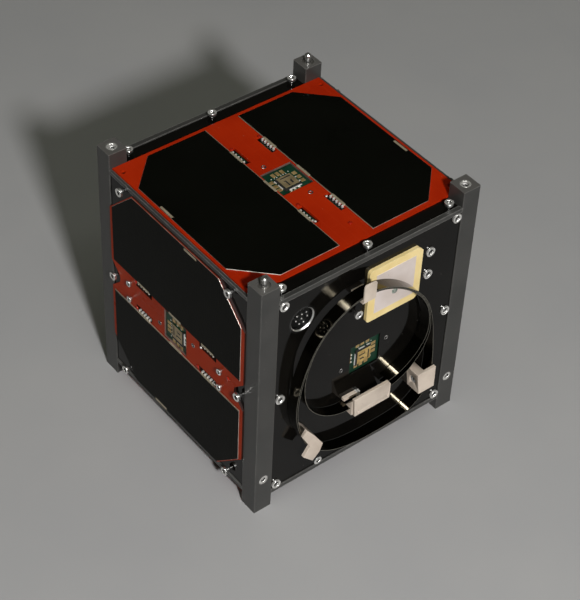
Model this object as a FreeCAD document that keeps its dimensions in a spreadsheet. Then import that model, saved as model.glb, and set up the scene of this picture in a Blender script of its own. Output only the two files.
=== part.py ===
import FreeCAD, Part

import os
import sys

import Sketcher

# A cube satellite: four corner rails, crossbars between them, a cover plate on each face,
# solar boards on five faces, and the antenna face with two coiled tapes at -Y.
# The origin is on the ground, midway between the rails' feet. +Z points up.

DOCUMENT = FreeCAD.newDocument("cube_satellite")
SHEET = DOCUMENT.addObject("Spreadsheet::Sheet", "size")

# alias, value in millimetres or degrees, what it is
DIMENSIONS = [
    ("rail_reach", 50.0, "from the middle to the rails' outer faces"),
    ("rail_width", 8.0, "side of a rail's square section"),
    ("rail_length", 113.5, "height of a rail, foot to top end"),
    ("rail_edge", 0.3, "rounding of a rail's edges"),
    ("frame_bottom", 6.5, "lower side of the bottom crossbars"),
    ("frame_top", 106.5, "upper side of the top crossbars"),
    ("rim", 2.0, "from the frame's edge to a cover plate"),
    ("rim_plain", 1.98, "width of the rim where no board lies beside it"),
    ("rim_beside_board", 1.2, "width of the rim beside a solar board, on top"),
    ("rim_above_board", 1.6, "height of the rim beside a solar board, on the side"),
    ("recess", 0.5, "depth of the cover plates below the rims"),
    ("plate", 0.8, "thickness of a cover plate"),
    ("bar_wall", 2.5, "thickness of a crossbar's web and shelf"),
    ("bar_shelf", 6.5, "how far a crossbar reaches inward"),
    ("bar_web", 8.0, "how far a crossbar reaches along the face"),
    ("face_middle", 56.75, "height of the side faces' middle"),
    ("board", 1.0, "thickness of a solar board"),
    ("board_half_width", 41.9, "half width of a side solar board"),
    ("board_half_height", 47.9, "half height of a side solar board"),
    ("board_clip", 15.0, "clipped corner of a side solar board"),
    ("board_top_half_x", 48.7, "half length of the top and bottom solar boards"),
    ("screw_half_y", 39.7, "from the middle to the screws in a side board's ends"),
    ("notch_radius", 3.3, "notch in a board's end, round a screw"),
    ("flare_inner", 38.0, "where that notch begins to flare, from the face's middle"),
    ("flare_start", 3.0, "half width of the flare there"),
    ("flare_end", 7.8, "half width of the flare at its outer end"),
    ("flare_outer", 42.9, "outer end of the flare, past the board's edge"),
    ("cell", 0.3, "thickness of a solar cell"),
    ("strip_half", 7.65, "half width of the bare strip between the cells"),
    ("cell_far", 47.6, "far edge of a cell from the face's middle"),
    ("cell_half_length", 40.15, "half length of a cell along the strip"),
    ("cell_clip", 13.5, "clipped outer corner of a cell"),
    ("window_half", 7.05, "half side of the window over a sun sensor"),
    ("sensor_half", 6.65, "half side of a sun sensor's board"),
    ("sensor_board", 0.4, "thickness of a sun sensor's board"),
    ("chip_half_along", 3.1, "half length of a sun sensor's chip"),
    ("chip_half_across", 3.2, "half width of a sun sensor's chip"),
    ("chip_shift_along", 1.05, "how far a chip lies off the window's middle, along the strip"),
    ("chip_shift_across", 0.3, "the same across the strip, on the top and bottom boards"),
    ("chip_drop", 0.6, "how far the front chip lies below the window's middle"),
    ("chip", 0.5, "thickness of a sun sensor's chip"),
    ("front_window_x", 0.35, "middle of the front plate's window along X"),
    ("front_window_z", 55.75, "middle of the front plate's window, height"),
    ("front_board_half", 8.0, "half side of the sensor board behind the front plate"),
    ("connector_x", -30.9, "middle of the round connector along X"),
    ("connector_z", 91.4, "height of the round connector's middle"),
    ("connector_outer", 5.8, "radius of the connector's barrel"),
    ("connector_bore", 4.8, "radius of the connector's mouth"),
    ("connector_flange", 7.0, "radius of the flange behind the plate"),
    ("connector_barrel", 6.0, "length of the barrel behind the plate's face"),
    ("connector_mouth", 5.0, "depth of the mouth down to the barrel's floor"),
    ("connector_well", 2.2, "depth of the mouth down to the insert"),
    ("contact", 0.35, "radius of a contact pin"),
    ("contact_height", 1.8, "how far a contact pin stands out of the insert"),
    ("patch_x", 10.9, "middle of the patch antenna along X"),
    ("patch_z", 86.35, "height of the patch antenna's middle"),
    ("patch_half", 12.6, "half side of the patch antenna"),
    ("patch", 1.4, "thickness of the patch antenna's ceramic"),
    ("patch_corner", 2.2, "clipped right corners of the ceramic"),
    ("patch_round", 1.5, "rounded left corners of the ceramic"),
    ("patch_metal_half", 9.3, "half side of the patch antenna's metal"),
    ("patch_metal", 0.1, "thickness of the patch antenna's metal"),
    ("tape_width", 5.0, "width of an antenna tape"),
    ("tape", 0.2, "thickness of an antenna tape"),
    ("tape_gap", 0.2, "gap between the plate and a tape, low on the face"),
    ("tape_raised_gap", 1.6, "gap between the plate and a tape beside and over the patch antenna"),
    ("tape_rise_from", 50.0, "height where the tapes begin to rise off the plate"),
    ("tape_rise_to", 74.0, "height where the tapes are fully raised"),
    ("tape_smoothing", 0.05, "how closely a tape's arcs follow its smooth line"),
    ("holder_body", 5.5, "height of a tape holder's body above the plate"),
    ("holder_flange", 1.3, "thickness of the flange in front of a tape"),
    ("top_holder_body", 6.75, "height of the top holder's body, beside the patch antenna"),
    ("finger", 0.55, "thickness of the top holder's finger"),
    ("finger_round", 1.2, "rounding of that finger's free end"),
    ("side_recess", 1.7, "radius of the screw recess in the right holder's side"),
    ("side_recess_x", 23.1, "the holder's side that carries the recess"),
    ("side_recess_rise", 3.5, "how far the recess lies above the plate"),
    ("side_recess_z", 31.0, "height of the recess"),
    ("side_recess_depth", 1.8, "depth of the recess from that side"),
    ("feed_half", 8.9, "half length of the feed holder's wedge"),
    ("feed_low", 33.0, "lower side of the feed holder"),
    ("feed_foot", 33.6, "upper edge of its wedge, on the plate"),
    ("feed_brow", 40.4, "upper edge of its wedge, behind the flange"),
    ("terminal", 1.5, "how far the feed terminal stands out of the plate"),
    ("plunger_bore", 2.5, "radius of the bore for a plunger's sleeve"),
    ("plunger_depth", 12.0, "depth of that bore"),
    ("sleeve_lip", 1.3, "radius of the hole in a sleeve's end"),
    ("sleeve_inner", 1.8, "radius inside a sleeve"),
    ("sleeve_recess", 0.6, "how far a sleeve's end lies below the rail's end"),
    ("sleeve_end", 1.0, "thickness of a sleeve's end"),
    ("sleeve_floor", 1.0, "thickness of a sleeve's closed floor"),
    ("plunger", 1.25, "radius of a plunger pin"),
    ("plunger_bevel", 0.4, "bevel on a plunger pin's end"),
    ("plunger_collar", 1.7, "radius of the collar that keeps a pin in"),
    ("plunger_foot", 2.0, "from the sleeve's end down to the pin's lower end"),
    ("collar_height", 1.98, "height of that collar"),
    ("plunger_rise", 3.5, "how far a plunger pin stands out of the rail"),
    ("set_screw", 2.2, "radius of a set screw in a rail's end"),
    ("set_screw_length", 6.0, "length of a set screw"),
    ("slot_width", 0.8, "width of a set screw's slot"),
    ("slot_half_length", 3.0, "half length of that slot's cut"),
    ("slot_depth", 0.9, "depth of a set screw's slot"),
    ("side_hole_z", 16.7, "height of the screw holes in the front rails"),
    ("side_hole", 2.0, "radius of the screw holes in the front rails"),
    ("side_hole_depth", 2.0, "depth of those holes"),
    ("stack_half", 40.5, "half side of the electronics stack"),
    ("stack_height", 88.0, "height of the electronics stack"),
]

for row, (alias, value, meaning) in enumerate(DIMENSIONS, start=1):
    SHEET.set(f"A{row}", meaning)
    SHEET.set(f"B{row}", str(value))
    SHEET.setAlias(f"B{row}", alias)
DOCUMENT.recompute()

NODES = []


def read(formula):
    """Value of a formula of the sheet, as a plain number."""
    return float(SHEET.evalExpression(str(formula)))


def keep(item, label):
    """Give a finished sub-part its label and remember it for writing."""
    item.Label = label
    NODES.append(item)
    return item


def new_body(name):
    body = DOCUMENT.addObject("PartDesign::Body", name + "_body")
    body.AllowCompound = True
    return body


def new_sketch(body, name, role, height="0"):
    """Sketch on one of the body's own origin planes, lifted along the plane's normal."""
    sketch = body.newObject("Sketcher::SketchObject", name)
    plane = next(item for item in body.Origin.OriginFeatures if item.Role == role)
    sketch.AttachmentSupport = [(plane, "")]
    sketch.MapMode = "FlatFace"
    sketch.setExpression("AttachmentOffset.Base.z", height)
    return sketch


def draw_outline(sketch, corners):
    """Closed outline whose corners are pairs of sheet formulas."""
    points = [FreeCAD.Vector(read(across), read(along), 0) for across, along in corners]
    first = sketch.GeometryCount
    for start, end in zip(points, points[1:] + points[:1]):
        sketch.addGeometry(Part.LineSegment(start, end), False)
    for index, (across, along) in enumerate(corners):
        line = first + index
        following = first + (index + 1) % len(corners)
        sketch.addConstraint(Sketcher.Constraint("Coincident", line, 2, following, 1))
        bind_point(sketch, line, 1, across, along)


def bind_point(sketch, geometry, vertex, across, along):
    for kind, formula in (("DistanceX", across), ("DistanceY", along)):
        rule = Sketcher.Constraint(kind, -1, 1, geometry, vertex, read(formula))
        number = sketch.addConstraint(rule)
        sketch.setExpression(f"Constraints[{number}]", str(formula))


def draw_circle(sketch, across, along, radius):
    centre = FreeCAD.Vector(read(across), read(along), 0)
    circle = Part.Circle(centre, FreeCAD.Vector(0, 0, 1), read(radius))
    geometry = sketch.addGeometry(circle, False)
    bind_point(sketch, geometry, 3, across, along)
    rule = Sketcher.Constraint("Radius", geometry, read(radius))
    number = sketch.addConstraint(rule)
    sketch.setExpression(f"Constraints[{number}]", str(radius))


def draw_rectangle(sketch, across, along, half_across, half_along):
    low_across, high_across = f"({across}) - ({half_across})", f"({across}) + ({half_across})"
    low_along, high_along = f"({along}) - ({half_along})", f"({along}) + ({half_along})"
    corners = [(low_across, low_along), (high_across, low_along),
               (high_across, high_along), (low_across, high_along)]
    draw_outline(sketch, corners)


def pad(body, sketch, length, midplane=False, backwards=False):
    feature = body.newObject("PartDesign::Pad", sketch.Name + "_pad")
    feature.Profile = sketch
    feature.Midplane = midplane
    feature.Reversed = backwards
    feature.setExpression("Length", length)
    DOCUMENT.recompute()
    return feature


def pocket(body, sketch, length, backwards=False):
    """Pocket that must take material away."""
    before = body.Shape.Volume
    feature = body.newObject("PartDesign::Pocket", sketch.Name + "_pocket")
    feature.Profile = sketch
    feature.Reversed = backwards
    feature.setExpression("Length", length)
    DOCUMENT.recompute()
    if body.Shape.Volume >= before - 1e-6:
        sys.exit(f"{sketch.Name} cuts nothing")
    return feature


def round_edges(body, name, radius, wanted):
    """Fillet on those edges of the body that the test picks."""
    dress_edges(body, "PartDesign::Fillet", name + "_rounding", "Radius", radius, wanted)


def bevel_edges(body, name, width, wanted):
    """Chamfer on those edges of the body that the test picks."""
    dress_edges(body, "PartDesign::Chamfer", name + "_bevel", "Size", width, wanted)


def dress_edges(body, kind, name, measure, formula, wanted):
    base = body.Tip
    feature = body.newObject(kind, name)
    edges = enumerate(base.Shape.Edges, start=1)
    feature.Base = (base, [f"Edge{number}" for number, edge in edges if wanted(edge)])
    feature.setExpression(measure, formula)
    DOCUMENT.recompute()


def plain_box(name, corner, lengths):
    """Box with its low corner and its lengths given as sheet formulas."""
    box = DOCUMENT.addObject("Part::Box", name)
    for axis, formula in zip("xyz", corner):
        box.setExpression(f"Placement.Base.{axis}", formula)
    for side, formula in zip(("Length", "Width", "Height"), lengths):
        box.setExpression(side, formula)
    return keep(box, name)


# ---- corner rails ----

RAIL_MIDDLE = "size.rail_reach - size.rail_width / 2"

# name, side along X, side along Y, radius of the bore in the top end, its depth, screw hole in front
RAILS = [
    ("rail_front", -1, -1, "size.plunger_bore", "size.plunger_depth", True),
    ("rail_right", 1, -1, "size.set_screw", "size.set_screw_length", True),
    ("rail_left", -1, 1, "size.set_screw", "size.set_screw_length", False),
    ("rail_back", 1, 1, "size.plunger_bore", "size.plunger_depth", False),
]


def make_rail(name, side_x, side_y, bore, depth, front_hole):
    body = new_body(name)
    section = new_sketch(body, name + "_section", "XY_Plane")
    across, along = f"{side_x} * ({RAIL_MIDDLE})", f"{side_y} * ({RAIL_MIDDLE})"
    draw_rectangle(section, across, along, "size.rail_width / 2", "size.rail_width / 2")
    pad(body, section, "size.rail_length")
    round_edges(body, name, "size.rail_edge", is_upright)
    hole = new_sketch(body, name + "_end_hole", "XY_Plane", "size.rail_length")
    draw_circle(hole, across, along, bore)
    pocket(body, hole, depth)
    if front_hole:
        side = new_sketch(body, name + "_side_hole", "XZ_Plane", "size.rail_reach")
        draw_circle(side, across, "size.side_hole_z", "size.side_hole")
        pocket(body, side, "size.side_hole_depth")
    keep(body, name)


def is_upright(edge):
    return edge.BoundBox.ZLength > 100


# ---- crossbars ----

def bar_outline(rim_width, rim_height):
    """Section of a crossbar: pairs of distance in from the face and distance from the frame's end."""
    shelf = "size.recess + size.plate"
    depth = f"{shelf} + size.bar_wall"
    return [
        ("0", "0"),
        (rim_width, "0"),
        (rim_width, "size.recess"),
        ("size.rim", "size.recess"),
        ("size.rim", shelf),
        ("size.bar_shelf", shelf),
        ("size.bar_shelf", depth),
        (depth, depth),
        (depth, "size.bar_web"),
        (shelf, "size.bar_web"),
        (shelf, "size.rim"),
        ("size.recess", "size.rim"),
        ("size.recess", rim_height),
        ("0", rim_height),
    ]


# name of the bar, plane of its section, side it lies on, rim's width, rim's height
BARS = [
    ("front", "YZ_Plane", -1, "size.rim_plain", "size.rim_plain"),
    ("back", "YZ_Plane", 1, "size.rim_plain", "size.rim_above_board"),
    ("left", "XZ_Plane", -1, "size.rim_beside_board", "size.rim_above_board"),
    ("right", "XZ_Plane", 1, "size.rim_beside_board", "size.rim_above_board"),
]


def make_crossbars(name, end, inward):
    """Four bars between the rails, at the frame's end that the formula names."""
    body = new_body(name)
    for bar, plane, side, rim_width, rim_height in BARS:
        section = new_sketch(body, f"{name}_{bar}", plane)
        corners = [(f"{side} * (size.rail_reach - ({inset}))", f"{end} + {inward} * ({drop})")
                   for inset, drop in bar_outline(rim_width, rim_height)]
        draw_outline(section, corners)
        pad(body, section, "2 * (size.rail_reach - size.rail_width)", midplane=True)
    keep(body, name)


# ---- cover plates ----

PLATE_HALF = "size.rail_reach - size.rail_width"
PLATE_OUT = "size.rail_reach - size.recess"
PLATE_IN = "size.rail_reach - size.recess - size.plate"
PLATE_LOW = "size.frame_bottom + size.rim"
PLATE_HIGH = "size.frame_top - size.rim"
PLATE_HEIGHT = "size.frame_top - size.frame_bottom - 2 * size.rim"


def make_side_plates():
    wide = f"2 * ({PLATE_HALF})"
    near, far = f"-({PLATE_HALF})", PLATE_IN
    plain_box("back_plate", (near, far, PLATE_LOW), (wide, "size.plate", PLATE_HEIGHT))
    plain_box("right_plate", (far, near, PLATE_LOW), ("size.plate", wide, PLATE_HEIGHT))
    plain_box("left_plate", (f"-({PLATE_OUT})", near, PLATE_LOW), ("size.plate", wide, PLATE_HEIGHT))


def make_front_plate():
    body = new_body("front_plate")
    outline = new_sketch(body, "front_plate_outline", "XZ_Plane", PLATE_IN)
    draw_rectangle(outline, "0", f"(({PLATE_LOW}) + ({PLATE_HIGH})) / 2",
                   PLATE_HALF, f"({PLATE_HEIGHT}) / 2")
    pad(body, outline, "size.plate")
    openings = new_sketch(body, "front_plate_openings", "XZ_Plane", PLATE_OUT)
    draw_rectangle(openings, "size.front_window_x", "size.front_window_z",
                   "size.window_half", "size.window_half")
    draw_circle(openings, "size.connector_x", "size.connector_z", "size.connector_outer")
    pocket(body, openings, "size.plate")
    keep(body, "front_plate")


def make_end_plate(name, height):
    """Top or bottom plate: a square with its corners cut back for the rails."""
    edge = "size.rail_reach - size.rim"
    body = new_body(name)
    outline = new_sketch(body, name + "_outline", "XY_Plane", height)
    draw_outline(outline, four_corners([(edge, PLATE_HALF), (PLATE_HALF, PLATE_HALF),
                                        (PLATE_HALF, edge)]))
    pad(body, outline, "size.plate")
    keep(body, name)


def four_corners(quarter, middle="0"):
    """Outline that repeats one corner's points on both sides of both axes."""
    turns = [(1, 1, 1), (-1, 1, -1), (-1, -1, 1), (1, -1, -1)]
    corners = []
    for side_across, side_along, order in turns:
        for across, along in quarter[::order]:
            corners.append((f"{side_across} * ({across})", f"{middle} + {side_along} * ({along})"))
    return corners


# ---- solar boards, cells and sun sensors ----

BOARD_OUT = f"{PLATE_OUT} + size.board"
TOP_PLATE_OUT = "size.frame_top - size.recess"
TOP_BOARD_OUT = f"{TOP_PLATE_OUT} + size.board"
BOTTOM_PLATE_OUT = "size.frame_bottom + size.recess"
BOTTOM_BOARD_OUT = f"{BOTTOM_PLATE_OUT} - size.board"

# face, plane of its sketches, sign of the height along the plane's normal, plate's outer face,
# board's outer face, middle of the face along the sketch's second axis, strip along the first axis,
# pads that point against the normal
SOLAR_FACES = [
    ("left", "YZ_Plane", -1, PLATE_OUT, BOARD_OUT, "size.face_middle", True, True),
    ("right", "YZ_Plane", 1, PLATE_OUT, BOARD_OUT, "size.face_middle", True, False),
    ("back", "XZ_Plane", -1, PLATE_OUT, BOARD_OUT, "size.face_middle", True, True),
    ("top", "XY_Plane", 1, TOP_PLATE_OUT, TOP_BOARD_OUT, "0", False, False),
    ("bottom", "XY_Plane", 1, BOTTOM_PLATE_OUT, BOTTOM_BOARD_OUT, "0", False, True),
]


def side_board_outline(middle):
    half, tall, clip = "size.board_half_width", "size.board_half_height", "size.board_clip"
    return four_corners([(half, f"{tall} - {clip}"), (f"{half} - {clip}", tall)], middle)


def make_solar_board(face, plane, sign, plate_out, board_out, middle, strip_along, backwards):
    name = "solar_board_" + face
    body = new_body(name)
    base = f"{sign} * ({plate_out})"
    outline = new_sketch(body, name + "_outline", plane, base)
    if strip_along:
        draw_outline(outline, side_board_outline(middle))
    else:
        draw_rectangle(outline, "0", "0", "size.board_top_half_x", "size.board_half_width")
    pad(body, outline, "size.board", backwards=backwards)
    openings = new_sketch(body, name + "_openings", plane, base)
    draw_rectangle(openings, "0", middle, "size.window_half", "size.window_half")
    if strip_along:
        for side in (-1, 1):
            draw_circle(openings, f"{side} * size.screw_half_y", middle, "size.notch_radius")
    pocket(body, openings, "size.board", backwards=not backwards)
    if strip_along:
        flares = new_sketch(body, name + "_flares", plane, base)
        for side in (-1, 1):
            draw_outline(flares, notch_flare(side, middle))
        pocket(body, flares, "size.board", backwards=not backwards)
    keep(body, name)


def notch_flare(side, middle):
    """Wedge that opens a notch towards the board's edge."""
    corners = [("size.flare_inner", "-size.flare_start"), ("size.flare_inner", "size.flare_start"),
               ("size.flare_outer", "size.flare_end"), ("size.flare_outer", "-size.flare_end")]
    return [(f"{side} * ({across})", f"{middle} + ({along})") for across, along in corners]


def cell_outline(side, middle, strip_along):
    """One cell beside the strip, with its two outer corners clipped."""
    near, far = "size.strip_half", "size.cell_far"
    half, clip = "size.cell_half_length", "size.cell_clip"
    corners = [(f"-{half}", near), (half, near), (half, f"{far} - {clip}"),
               (f"{half} - {clip}", far), (f"{clip} - {half}", far), (f"-{half}", f"{far} - {clip}")]
    if strip_along:
        return [(along, f"{middle} + {side} * ({out})") for along, out in corners]
    return [(f"{side} * ({out})", along) for along, out in corners]


def make_solar_cells(face, plane, sign, plate_out, board_out, middle, strip_along, backwards):
    name = "solar_cells_" + face
    body = new_body(name)
    for side, part in ((-1, "first"), (1, "second")):
        outline = new_sketch(body, f"{name}_{part}", plane, f"{sign} * ({board_out})")
        draw_outline(outline, cell_outline(side, middle, strip_along))
        pad(body, outline, "size.cell", backwards=backwards)
    keep(body, name)


def make_sun_sensor(face, plane, sign, plate_out, board_out, middle, strip_along, backwards):
    name = "sun_sensor_" + face
    body = new_body(name)
    carrier = new_sketch(body, name + "_board", plane, f"{sign} * ({plate_out})")
    draw_rectangle(carrier, "0", middle, "size.sensor_half", "size.sensor_half")
    pad(body, carrier, "size.sensor_board", backwards=backwards)
    chip = new_sketch(body, name + "_chip", plane, f"{sign} * ({plate_out})")
    if strip_along:
        draw_rectangle(chip, "-size.chip_shift_along", middle,
                       "size.chip_half_along", "size.chip_half_across")
    else:
        draw_rectangle(chip, "-size.chip_shift_across", "-size.chip_shift_along",
                       "size.chip_half_across", "size.chip_half_along")
    pad(body, chip, "size.sensor_board + size.chip", backwards=backwards)
    keep(body, name)


def make_front_sensor():
    """Sensor board held behind the front plate, with its chip in the window."""
    body = new_body("sun_sensor_front")
    carrier = new_sketch(body, "sun_sensor_front_board", "XZ_Plane", PLATE_IN)
    middle = ("size.front_window_x", "size.front_window_z")
    draw_rectangle(carrier, *middle, "size.front_board_half", "size.front_board_half")
    pad(body, carrier, "size.board", backwards=True)
    chip = new_sketch(body, "sun_sensor_front_chip", "XZ_Plane", PLATE_IN)
    draw_rectangle(chip, "size.front_window_x", "size.front_window_z - size.chip_drop",
                   "size.chip_half_across", "size.chip_half_along")
    pad(body, chip, "size.chip")
    keep(body, "sun_sensor_front")


# ---- connector and patch antenna ----

# contact pins in three rows, across and up from the connector's middle
CONTACT_PLACES = [(-2.05, 2.0), (0, 2.0), (2.05, 2.0), (-2.5, 0), (0, 0), (2.5, 0), (-0.95, -2.1),
                  (0.95, -2.1)]


def make_connector():
    centre = ("size.connector_x", "size.connector_z")
    shell = new_body("connector_shell")
    flange = new_sketch(shell, "connector_flange", "XZ_Plane", PLATE_IN)
    draw_circle(flange, *centre, "size.connector_flange")
    pad(shell, flange, "size.plate", backwards=True)
    barrel = new_sketch(shell, "connector_barrel", "XZ_Plane", PLATE_OUT)
    draw_circle(barrel, *centre, "size.connector_outer")
    pad(shell, barrel, "size.connector_barrel", backwards=True)
    mouth = new_sketch(shell, "connector_mouth", "XZ_Plane", PLATE_OUT)
    draw_circle(mouth, *centre, "size.connector_bore")
    pocket(shell, mouth, "size.connector_mouth")
    keep(shell, "connector_shell")

    insert = new_body("connector_insert")
    disc = new_sketch(insert, "connector_insert_disc", "XZ_Plane", f"{PLATE_OUT} - size.connector_well")
    draw_circle(disc, *centre, "size.connector_bore")
    pad(insert, disc, "size.connector_mouth - size.connector_well", backwards=True)
    keep(insert, "connector_insert")

    contacts = new_body("connector_pins")
    for number, (across, up) in enumerate(CONTACT_PLACES):
        pin = new_sketch(contacts, f"contact_{number}", "XZ_Plane", f"{PLATE_OUT} - size.connector_well")
        draw_circle(pin, f"size.connector_x + {across}", f"size.connector_z + {up}", "size.contact")
        pad(contacts, pin, "size.contact_height")
    keep(contacts, "connector_pins")


def make_patch_antenna():
    ceramic = new_body("patch_ceramic")
    tile = new_sketch(ceramic, "patch_tile", "XZ_Plane", PLATE_OUT)
    left, right = "size.patch_x - size.patch_half", "size.patch_x + size.patch_half"
    low, high = "size.patch_z - size.patch_half", "size.patch_z + size.patch_half"
    clip = "size.patch_corner"
    corners = [(left, low), (f"{right} - {clip}", low), (right, f"{low} + {clip}"),
               (right, f"{high} - {clip}"), (f"{right} - {clip}", high), (left, high)]
    draw_outline(tile, corners)
    pad(ceramic, tile, "size.patch")
    round_edges(ceramic, "patch_ceramic", "size.patch_round", is_left_corner)
    keep(ceramic, "patch_ceramic")

    metal = new_body("patch_metal")
    foil = new_sketch(metal, "patch_foil", "XZ_Plane", f"{PLATE_OUT} + size.patch")
    draw_rectangle(foil, "size.patch_x", "size.patch_z", "size.patch_metal_half", "size.patch_metal_half")
    pad(metal, foil, "size.patch_metal")
    keep(metal, "patch_metal")


def is_left_corner(edge):
    """The two corners of the ceramic that lie furthest towards -X."""
    box = edge.BoundBox
    left = read("size.patch_x - size.patch_half")
    return abs(box.XMax - left) < 0.01 and box.YLength > 1 and box.ZLength < 0.01


# ---- coiled antenna tapes and their holders ----

# Each tape stands on edge and runs counter-clockwise, seen from the front, past these places,
# given as X and Z. All three lie together over the top.
TAPE_ROUTES = {
    "antenna_tape_inner": [
        (9.1, 40.3), (19.0, 44.6), (26.0, 53.8), (26.3, 64.5), (22.6, 75.3), (14.0, 85.6), (-4.0, 94.3),
        (-20.5, 89.6), (-30.8, 76.5), (-33.0, 61.5), (-29.6, 49.2), (-19.6, 39.2), (-9.3, 36.6)],
    "antenna_tape_middle": [
        (9.1, 36.55), (13.6, 37.7), (22.6, 43.9), (27.5, 54.0), (26.8, 65.0), (22.95, 75.5),
        (14.25, 85.9), (-4.0, 94.65), (-20.7, 89.9), (-31.15, 76.7), (-34.6, 62.0), (-34.9, 47.5),
        (-29.6, 31.0)],
    "antenna_tape_outer": [
        (-24.8, 24.0), (-18.9, 19.5), (-6.0, 15.5), (10.0, 15.0), (23.6, 17.6), (30.0, 25.0),
        (31.6, 38.5), (30.0, 54.0), (27.4, 65.5), (23.3, 75.7), (14.5, 86.2), (-4.0, 95.0),
        (-20.9, 90.2), (-31.5, 76.9), (-35.2, 62.0), (-35.5, 47.0), (-32.6, 36.0), (-28.3, 27.6)],
}


def make_tape_lane():
    """Space that a tape may fill: close to the plate below, and raised over the patch antenna."""
    profile = DOCUMENT.addObject("Sketcher::SketchObject", "tape_lane_profile")
    profile.Placement.Rotation = FreeCAD.Rotation(FreeCAD.Vector(1, 1, 1), 120)
    low, high = f"-({PLATE_OUT}) - size.tape_gap", f"-({PLATE_OUT}) - size.tape_raised_gap"
    back = [(low, "0"), (low, "size.tape_rise_from"), (high, "size.tape_rise_to"),
            (high, "size.frame_top")]
    front = [(f"{across} - size.tape_width", height) for across, height in reversed(back)]
    draw_outline(profile, back + front)
    lane = DOCUMENT.addObject("Part::Extrusion", "tape_lane")
    lane.Base = profile
    lane.Dir = (1, 0, 0)
    lane.Symmetric = True
    lane.Solid = True
    lane.setExpression("LengthFwd", "2 * size.rail_reach")
    DOCUMENT.recompute()
    return lane


def make_tape(name, lane):
    """Thin ribbon along smooth arcs, trimmed to the lane's edges."""
    line = Part.BSplineCurve()
    line.interpolate([FreeCAD.Vector(x, -read(PLATE_OUT), z) for x, z in TAPE_ROUTES[name]])
    arcs = [arc.toShape() for arc in line.toBiArcs(read("size.tape_smoothing"))]
    section = Part.Wire(arcs).makeOffset2D(read("size.tape"), fill=True, openResult=True)
    ribbon = DOCUMENT.addObject("Part::Feature", name + "_ribbon")
    ribbon.Shape = section.extrude(FreeCAD.Vector(0, -2 * read("size.tape_width"), 0))
    tape = DOCUMENT.addObject("Part::Common", name)
    tape.Base = ribbon
    tape.Tool = lane
    DOCUMENT.recompute()
    keep(tape, name)


# name, body's outline, flange's outline as X and Z corners, height of the body, flange's thickness
HOLDERS = [
    ("antenna_holder_top",
     [(-9.1, 91.6), (-3.6, 91.6), (-3.6, 93.6), (-9.1, 93.6)],
     [(-9.1, 92.4), (-3.5, 92.4), (-3.5, 100.7), (-9.1, 100.7)],
     "size.top_holder_body", "size.finger"),
    ("antenna_holder_right",
     [(24.6, 24.9), (28.0, 24.9), (27.0, 35.8), (23.1, 35.8)],
     [(24.6, 24.9), (32.5, 24.9), (32.3, 35.8), (23.1, 35.8)],
     "size.holder_body", "size.holder_flange"),
    ("antenna_holder_left",
     [(-31.0, 39.3), (-31.4, 37.2), (-28.7, 31.4), (-26.8, 28.0), (-24.4, 25.4), (-23.2, 28.0),
      (-27.9, 35.4)],
     [(-31.4, 40.0), (-33.2, 37.2), (-29.5, 30.3), (-32.4, 26.0), (-27.8, 21.2), (-24.6, 24.4),
      (-23.2, 28.0), (-27.9, 35.4)],
     "size.holder_body", "size.holder_flange"),
]


def make_holder(name, body_corners, flange_corners, height, thickness):
    """Holder with a body on the plate, inside the coil, and a flange in front of the tapes."""
    body = new_body(name)
    foot = new_sketch(body, name + "_foot", "XZ_Plane", PLATE_OUT)
    draw_outline(foot, body_corners)
    pad(body, foot, height)
    flange = new_sketch(body, name + "_flange", "XZ_Plane", f"{PLATE_OUT} + {height}")
    draw_outline(flange, flange_corners)
    pad(body, flange, thickness)
    if name == "antenna_holder_top":
        round_edges(body, name, "size.finger_round", is_finger_end)
    if name == "antenna_holder_right":
        recess = new_sketch(body, name + "_recess", "YZ_Plane", "size.side_recess_x")
        draw_circle(recess, f"-({PLATE_OUT}) - size.side_recess_rise", "size.side_recess_z",
                    "size.side_recess")
        pocket(body, recess, "size.side_recess_depth", backwards=True)
    keep(body, name)


def is_finger_end(edge):
    """Edges across the thickness of the top holder's finger, at its free end."""
    box = edge.BoundBox
    return box.ZMin > 100 and box.YLength > 0.1 and box.XLength < 0.01


# outline of the flange over the tapes' inner ends, as X and Z corners
FEED_FLANGE = [(-8.3, 33.0), (8.9, 33.0), (8.9, 40.4), (8.0, 42.0), (-8.9, 42.0)]
# outline of the terminal on the plate, behind that flange's upper left corner
FEED_TERMINAL = [(-9.4, 37.3), (-3.3, 37.3), (-3.3, 38.7), (-9.4, 38.7)]


def make_feed_holder():
    """Wedge that rises from the plate to a flange, between the tapes' inner ends."""
    body = new_body("antenna_holder_feed")
    wedge = new_sketch(body, "feed_wedge", "YZ_Plane")
    near, far = f"-({PLATE_OUT})", f"-({PLATE_OUT}) - size.holder_body"
    draw_outline(wedge, [(near, "size.feed_low"), (near, "size.feed_foot"),
                         (far, "size.feed_brow"), (far, "size.feed_low")])
    pad(body, wedge, "2 * size.feed_half", midplane=True)
    flange = new_sketch(body, "feed_flange", "XZ_Plane", f"{PLATE_OUT} + size.holder_body")
    draw_outline(flange, FEED_FLANGE)
    pad(body, flange, "size.holder_flange")
    terminal = new_sketch(body, "feed_terminal", "XZ_Plane", PLATE_OUT)
    draw_outline(terminal, FEED_TERMINAL)
    pad(body, terminal, "size.terminal")
    keep(body, "antenna_holder_feed")


# ---- spring plungers, set screws and the stack inside ----

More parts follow.
